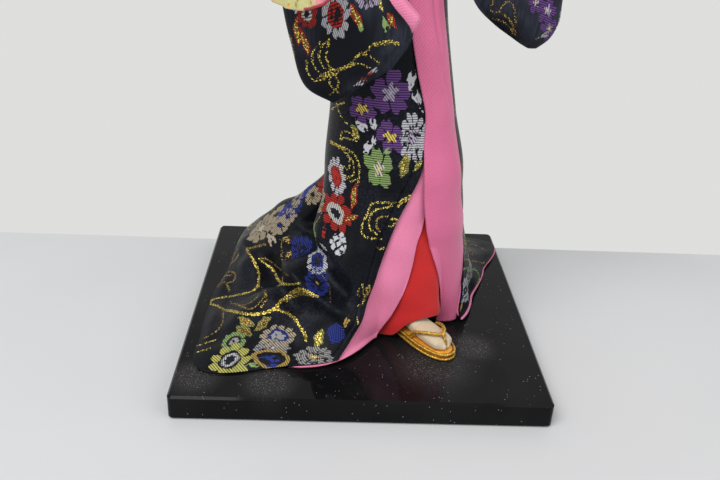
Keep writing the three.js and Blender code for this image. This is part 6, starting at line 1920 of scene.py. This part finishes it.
deg = np.linspace(0, 360, 420, endpoint=False)
lift = GAP + 2.2
scarf_path = polar(deg, bodice_radius(deg, SASH_TOP) + lift, SASH_TOP + GAP + 2)
puffs = 2 + 0.28 * np.sin(np.radians(deg * 9)) * np.sin(np.radians(deg * 4 + 40))
shape, faces = tube(scarf_path, puffs, 40, True, 0.012, 5, 0.1)
shape[:, 2] += 0.18 * wave(shape, 4.5, 67)
scarf = make("sash_scarf", (shape, faces), "figure", "pink_satin", ["obi_scarf"], lining_satin,
             plain_facts(shape.reshape(420, 40, 3)))

# The head, with its plain painted face: reach to the sides, the front and the back by height.

head_half = track((-1, 2.2), (1, 6), (4, 9), (8, 11.3), (14, 12.7), (20, 13.2), (28, 12), (34, 7.6),
                  (37, 0.8))
head_front = track((-1, 10), (1, 11.7), (5, 12.4), (10, 12.7), (18, 13.2), (25, 12.4), (31, 9.8),
                   (35, 5), (37, 0.8))
head_back = track((-1, -6), (1, -2), (4, 3.5), (8, 8.5), (14, 12.6), (22, 15), (30, 12), (35, 6),
                  (37, 0.8))

# Height, place above the chin and its spread, place beside the nose and its spread.

RELIEF = [
    (2.0, 10.6, 1.5, 0, 1.05), (0.95, 13.8, 3.0, 0, 0.95),              # nose and its bridge
    (0.5, 9.9, 0.8, 1.15, 0.6),                                         # wings of the nose
    (0.6, 6.7, 0.55, 0, 1.5), (0.65, 5.4, 0.6, 0, 1.25),                # lips
    (-0.35, 6.1, 0.25, 0, 1.9), (0.55, 2.4, 1.6, 0, 2.2),               # mouth and chin
    (-0.4, 4.0, 0.8, 0, 1.8), (-0.75, 14.6, 1.7, 3.7, 1.9),             # under the lip, eye sockets
    (0.55, 14.2, 1.15, 3.9, 1.45), (0.5, 9.6, 2.8, 5.2, 2.4),           # eyelids and cheeks
]


def head_surface(up, deg):
    """The face and skull, deg 0 at the nose."""
    front, back = head_front(up), head_back(up)
    middle, depth = (back - front) / 2, (front + back) / 2
    turn = np.radians(deg)
    x, y = head_half(up) * np.sin(turn), middle - depth * np.cos(turn)
    beside = np.abs(np.mod(deg + 180, 360) - 180) * 0.21
    for height, at, tall, aside, wide in RELIEF:
        y = y - height * np.exp(-(((up - at) / tall) ** 2) - ((beside - aside) / wide) ** 2)
    return point(NECK_X + x, y, CHIN + up)


turns = np.degrees(round_turn(260))
turns = turns - 38 * np.sin(np.radians(turns))
face = head_surface(*np.meshgrid(spaced(-1, (20, 150), (37, 50)), turns, indexing="ij"))
x, z = face[..., 0] - NECK_X, face[..., 2] - CHIN
front = (face[..., 1] < 0).astype(float)
side = np.abs(x)


def painted(distance, soft=0.14):
    return smooth(0.5 - distance / (2 * soft)) * front


brow_line = 18.6 + 0.75 * np.sin(np.clip((side - 1.9) / 4.4, 0, 1) * math.pi * 0.75)
brow_half = 0.34 * arch((side - 4.1) / 2.5)
brows = painted(np.abs(z - brow_line) - brow_half, 0.2) * (brow_half > 0.02) * 0.85
across = (side - 4.15) / 2.15
eye_arch, eye_slant = arch(across), 14.35 + 0.22 * across
lid_top, lid_low = eye_slant + 0.92 * eye_arch, eye_slant - 0.62 * eye_arch
inside = (np.abs(across) < 1) * front
eye_white = smooth((lid_top - z) / 0.2 + 0.5) * smooth((z - lid_low) / 0.2 + 0.5) * inside
iris = painted(np.hypot(side - 4.1, (z - 14.5) * 0.95) - 0.86) * eye_white
glint = painted(np.hypot(side - 4.1 + 0.3, z - 14.95) - 0.17, 0.08)
lash = painted(np.abs(z - lid_top - 0.06) - 0.17, 0.1) * (np.abs(across) < 1.06)
corner = np.hypot(across * 2.15 - 2.4, z - 14.75 - 0.3 * (across - 1)) - 0.22
lash = np.maximum(lash, painted(corner, 0.1))
lower = painted(np.abs(z - lid_low) - 0.05, 0.08) * (np.abs(across) < 0.9) * 0.5
crease = painted(np.abs(z - lid_top - 0.75) - 0.05, 0.12) * (np.abs(across) < 0.85) * 0.4
bow = 6.98 - 0.28 * bell(x, 0.42) + 0.14 * bell(side - 0.62, 0.5)
mouth = arch(x / 1.95)
lips = np.maximum(z - lerp(6.15, bow, mouth), lerp(6.15, 4.95, mouth) - z)
lips = painted(lips, 0.12) * (side < 1.93)
mouth_line = painted(np.abs(z - 6.12 + 0.04 * side) - 0.06, 0.08) * (side < 1.85)
blush = np.exp(-(((side - 6.6) / 2.6) ** 2) - ((z - 10.2) / 2.4) ** 2) * front * 0.35
lid_blush = np.exp(-(((side - 4.9) / 2.0) ** 2) - ((z - 15.9) / 0.9) ** 2) * front * 0.35
nostril = painted(np.hypot((side - 0.62) / 1.3, z - 9.35) - 0.16, 0.12) * 0.5

shaft = track((233.3, 1.6), (235.3, 1.55), (238.3, 1.15), (242.3, 1), (CHIN + 1, 0.98),
              (CHIN + 6, 1.1))
leaned = track((233.3, 0), (238.3, 0), (242.3, 0.2), (CHIN + 1, 0.6), (CHIN + 6, 1))
z_neck = np.linspace(233.3, CHIN + 6, 60)[:, None]
s = round_turn(80)[None]
reach = 5.2 * shaft(z_neck)
neck = lofted(point(NECK_X + reach * np.cos(s), leaned(z_neck) + reach * np.sin(s), z_neck))
peg = lofted(point(NECK_X + 2.4 * np.cos(s), 2.4 * np.sin(s), np.linspace(218, 234.3, 8)[:, None]))
shape = join(lofted(face), neck, peg)
pad = len(shape[0]) - z.size
facts = {key: np.append(value, np.zeros(pad)) for key, value in dict(
    brow=np.maximum(brows, np.maximum(lower, crease)), eye=eye_white, dark=np.maximum(iris, lash),
    lips=lips, line=np.maximum(mouth_line, nostril), blush=np.maximum(blush, lid_blush),
    glint=glint * iris).items()}
face_skin = skin_look("face_skin", (
    ("blush", (0.84, 0.32, 0.28)), ("brow", (0.045, 0.03, 0.026)), ("eye", (0.8, 0.79, 0.76)),
    ("lips", (0.5, 0.012, 0.02)), ("line", (0.16, 0.008, 0.012)), ("dark", (0.008, 0.006, 0.006)),
    ("glint", (0.95, 0.95, 0.95))))
make("head_moulded", shape, "head", "doll_skin", ["head"], face_skin, facts)

# Dressed hair: one surface round a middle, over the skull and under the face.

HAIR_MIDDLE = np.array([NECK_X, 3.5, 268.0])

# Middles and radii of the lumps that the hair blends into one.

LUMPS = [((0, 3.5, 271.5), (15.6, 15, 15.5)), ((-10.5, 2.5, 266), (8.4, 10.5, 9)),
         ((10.5, 2.5, 266), (8.4, 10.5, 9)), ((0, 14, 258.5), (8.6, 7.5, 8)),
         ((0, -4, 284.5), (10.5, 8.6, 6.8))]


def head_radius(way):
    """How far the head's surface lies from the hair's middle."""
    low, high = np.zeros(way.shape[:-1]), np.full(way.shape[:-1], 32.0)
    for _ in range(26):
        mid = (low + high) / 2
        p = HAIR_MIDDLE + way * mid[..., None]
        up = p[..., 2] - CHIN
        front, back = head_front(up), head_back(up)
        q = np.hypot((p[..., 0] - NECK_X) / head_half(up), (p[..., 1] - (back - front) / 2)
                     / np.maximum((front + back) / 2, 0.3))
        out = (q > 1) | (up > 37) | (up < -1)
        low, high = np.where(out, low, mid), np.where(out, mid, high)
    return low


def hair_radius(way):
    reach = []
    for centre, radii in LUMPS:
        c = (np.array(centre) + [NECK_X, 0, 0] - HAIR_MIDDLE) / radii
        w = way / radii
        a, b = (w * w).sum(-1), (w * c).sum(-1)
        gap = b * b - a * ((c * c).sum() - 1)
        reach.append(np.where(gap > 0, (b + np.sqrt(np.maximum(gap, 0))) / a, 0))
    reach = np.stack(reach)
    top, sharp = reach.max(0), 1.1
    return top + np.log(np.exp((reach - top) * sharp).sum(0)) / sharp * 0.5


t = np.linspace(0.01, math.pi - 0.01, 220)[:, None]
s = round_turn(360)[None]
way = point(np.sin(t) * np.sin(s), -np.sin(t) * np.cos(s), np.cos(t) * np.ones_like(s))
full, skull = hair_radius(way), head_radius(way)
p = HAIR_MIDDLE + way * full[..., None]
opening = np.sqrt((((p - [NECK_X, -16.5, 260]) / [10.9, 12.5, 17]) ** 2).sum(-1)) - 1
throat = np.hypot(p[..., 0] - NECK_X, p[..., 1] + 2.5) / 8.8 - 1
throat = np.minimum(opening, np.maximum(throat, (p[..., 2] - 258) / 8))
opening = np.where(p[..., 2] < 262, throat, opening)
hair = smooth((opening + 0.01) / 0.075)
roll = np.arctan2(p[..., 0] - NECK_X, p[..., 2] - 262.0)
strand = roll * 15.5
locks = 0.22 * np.sin(strand / 1.25 + 0.7 * np.sin(p[..., 1] / 5)) * hair
radius = lerp(np.minimum(skull, full) - 0.9, np.maximum(full + locks, skull + 0.35), hair)
make("dressed_hair", lofted(HAIR_MIDDLE + way * radius[..., None]), "head", "black_hair", ["wig"],
     black_hair, {"strand": np.append(strand, [0, 0])})

KNOT_KEYS = [(0, 12.5, 279), (0, 12.5, 286), (0, 7, 291.6), (0, 0, 290.6), (0, -2, 286)]
knot_way = spline([(NECK_X + a, b, c) for a, b, c in KNOT_KEYS], 90)
along = np.linspace(0, 1, 90)
knot_radius = track((0, 4.8), (0.25, 5.6), (0.5, 4.8), (0.8, 5.8), (1, 4.8))(along)
waist = 1 - 0.16 * bell(along - 0.5, 0.035)
make("topknot_hair", tube(knot_way, knot_radius * waist, 72), "head", "black_hair",
     ["hair_topknot"], black_hair, {"strand": np.append(np.tile(round_turn(72), 90) * 5.2, [0, 0])})

middle, along_knot = knot_way[45], unit(knot_way[47] - knot_way[43])
turn = round_turn(200)[:, None]
ring = 5.05 * (np.cos(turn) * [1, 0, 0] + np.sin(turn) * np.cross([1, 0, 0], along_knot))
bands = [tube(middle + along_knot * shift + ring, 0.62, 12, True, 0.1, 2, 0.15)
         for shift in (-0.75, 0.0, 0.75)]
make("ribbon_crepe", join(*bands), "head", "red_crepe", ["hair_ribbon"], red_crepe)

# Comb, beaded pin and flower pin.

def comb_place(p):
    c, s = math.cos(math.radians(68)), math.sin(math.radians(68))
    x, y, z = p[..., 0], p[..., 1], p[..., 2]
    return point(NECK_X + x, -7.5 + c * y - s * z, 290.5 + s * y + c * z)


arc = np.linspace(0, math.pi, 70)
outline = np.concatenate([np.stack([7.5 * np.cos(arc), 5 * np.sin(arc)], 1),
                          [(-7.5, -1.5), (-5, -4.5), (5, -4.5), (7.5, -1.5)]])
rings = [point(*(outline * (1 - inset / 6)).T, deep) for deep, inset in (
    (-0.6, 0.35), (-0.5, 0.08), (-0.3, 0), (0.3, 0), (0.5, 0.08), (0.6, 0.35))]
make("gilt_comb", lofted(comb_place(np.stack(rings))), "head", "gilt_plastic", ["hair_comb"], gilt)

pin_ends = np.array([(NECK_X - 19, 8, 282.5), (NECK_X + 19, 8, 285.5)])
beads = []
for end, way in zip(pin_ends, (-1, 1)):
    beads += [ellipsoid(end, (1.9, 1.9, 1.9), rows=26, columns=40),
              ellipsoid(end - [way * 2.0, 0, way * 0.16], (0.5, 1.15, 1.15), 12, 24)]
make("beaded_pin", join(tube(spline(pin_ends, 20), 0.6, 16), *beads), "head", "coral_plastic",
     ["hair_pin"], coral)

flower_at = np.array([NECK_X + 19.2, -11, 279.5])
facing_way = unit(np.array([0.75, -0.62, 0.15]))
side_way = unit(np.array([0.62, 0.75, 0]))
up_way = np.cross(facing_way, side_way)
petal_parts, tints = [], []
for layer, (count, reach, size) in enumerate(((5, 1.75, 1.95), (5, 1.15, 1.35))):
    for k in range(count):
        turn = 2 * math.pi * (k + 0.5 * layer) / count
        out = math.cos(turn) * side_way + math.sin(turn) * up_way
        across_way = np.cross(facing_way, out)
        U, V = np.meshgrid(np.linspace(-1, 1, 25), np.linspace(0, 1, 22))
        wide = size * np.sqrt(np.clip(1 - (2 * V - 1.08) ** 2 * 0.86, 0.02, 1)) * 0.82
        notch = 0.22 * bell(U, 0.22) * smooth((V - 0.7) / 0.3)
        radial = (V * 2 * reach * 0.86 + 0.1) * (1 - notch)
        cup = 0.85 * (V - 0.25) ** 2 + 0.28 * U ** 2 * V + 0.55 * layer - 0.16 * np.cos(6 * U) * V
        base = (flower_at + out * radial[..., None] + across_way * (U * wide)[..., None]
                + facing_way * (cup - 0.1)[..., None])
        shape = closed_sheet(base + facing_way * 0.09, base - facing_way * 0.09)
        petal_parts.append(shape)
        tints.append(np.tile((V + 0.25 * np.abs(U)).ravel(), 2))
stem = tube(spline([(NECK_X + 14.2, 2, 275), (NECK_X + 18.5, -10, 279)], 12), 0.5, 12)
heart = [ellipsoid(flower_at + facing_way * 1.1
                   + (math.cos(a) * side_way + math.sin(a) * up_way) * 0.34,
                   (0.24, 0.24, 0.24), rows=8, columns=12)
         for a in np.linspace(0, 6.28, 6, endpoint=False)]
rest = [stem, *heart]
tint = np.concatenate([*tints, np.full(sum(len(r[0]) for r in rest), 3.0)])


def petal_look(name):
    """Cloth that fades to the rim of each petal, and a yellow heart."""
    look = Look(name)
    tint, fine = look.fact("tint"), look.noise(0.3, 3.0)
    colour = look.mix(look.ramp(tint, 0.0, 0.9), (0.7, 0.06, 0.2), (0.92, 0.5, 0.62))
    colour = look.mix(look.math("GREATER_THAN", tint, 2.5), colour, (0.85, 0.6, 0.12))
    look.set(Base_Color=look.mix(look.times(fine, 0.25), colour, (0.6, 0.12, 0.25)),
             Roughness=0.55, Sheen_Weight=0.3, Sheen_Roughness=0.4)
    return look.bump(fine, 0.05, 0.6)


make("cloth_flower", join(*petal_parts, *rest), "head", "pink_petals", ["flower_pin"],
     petal_look("pink_petals"), {"tint": tint})
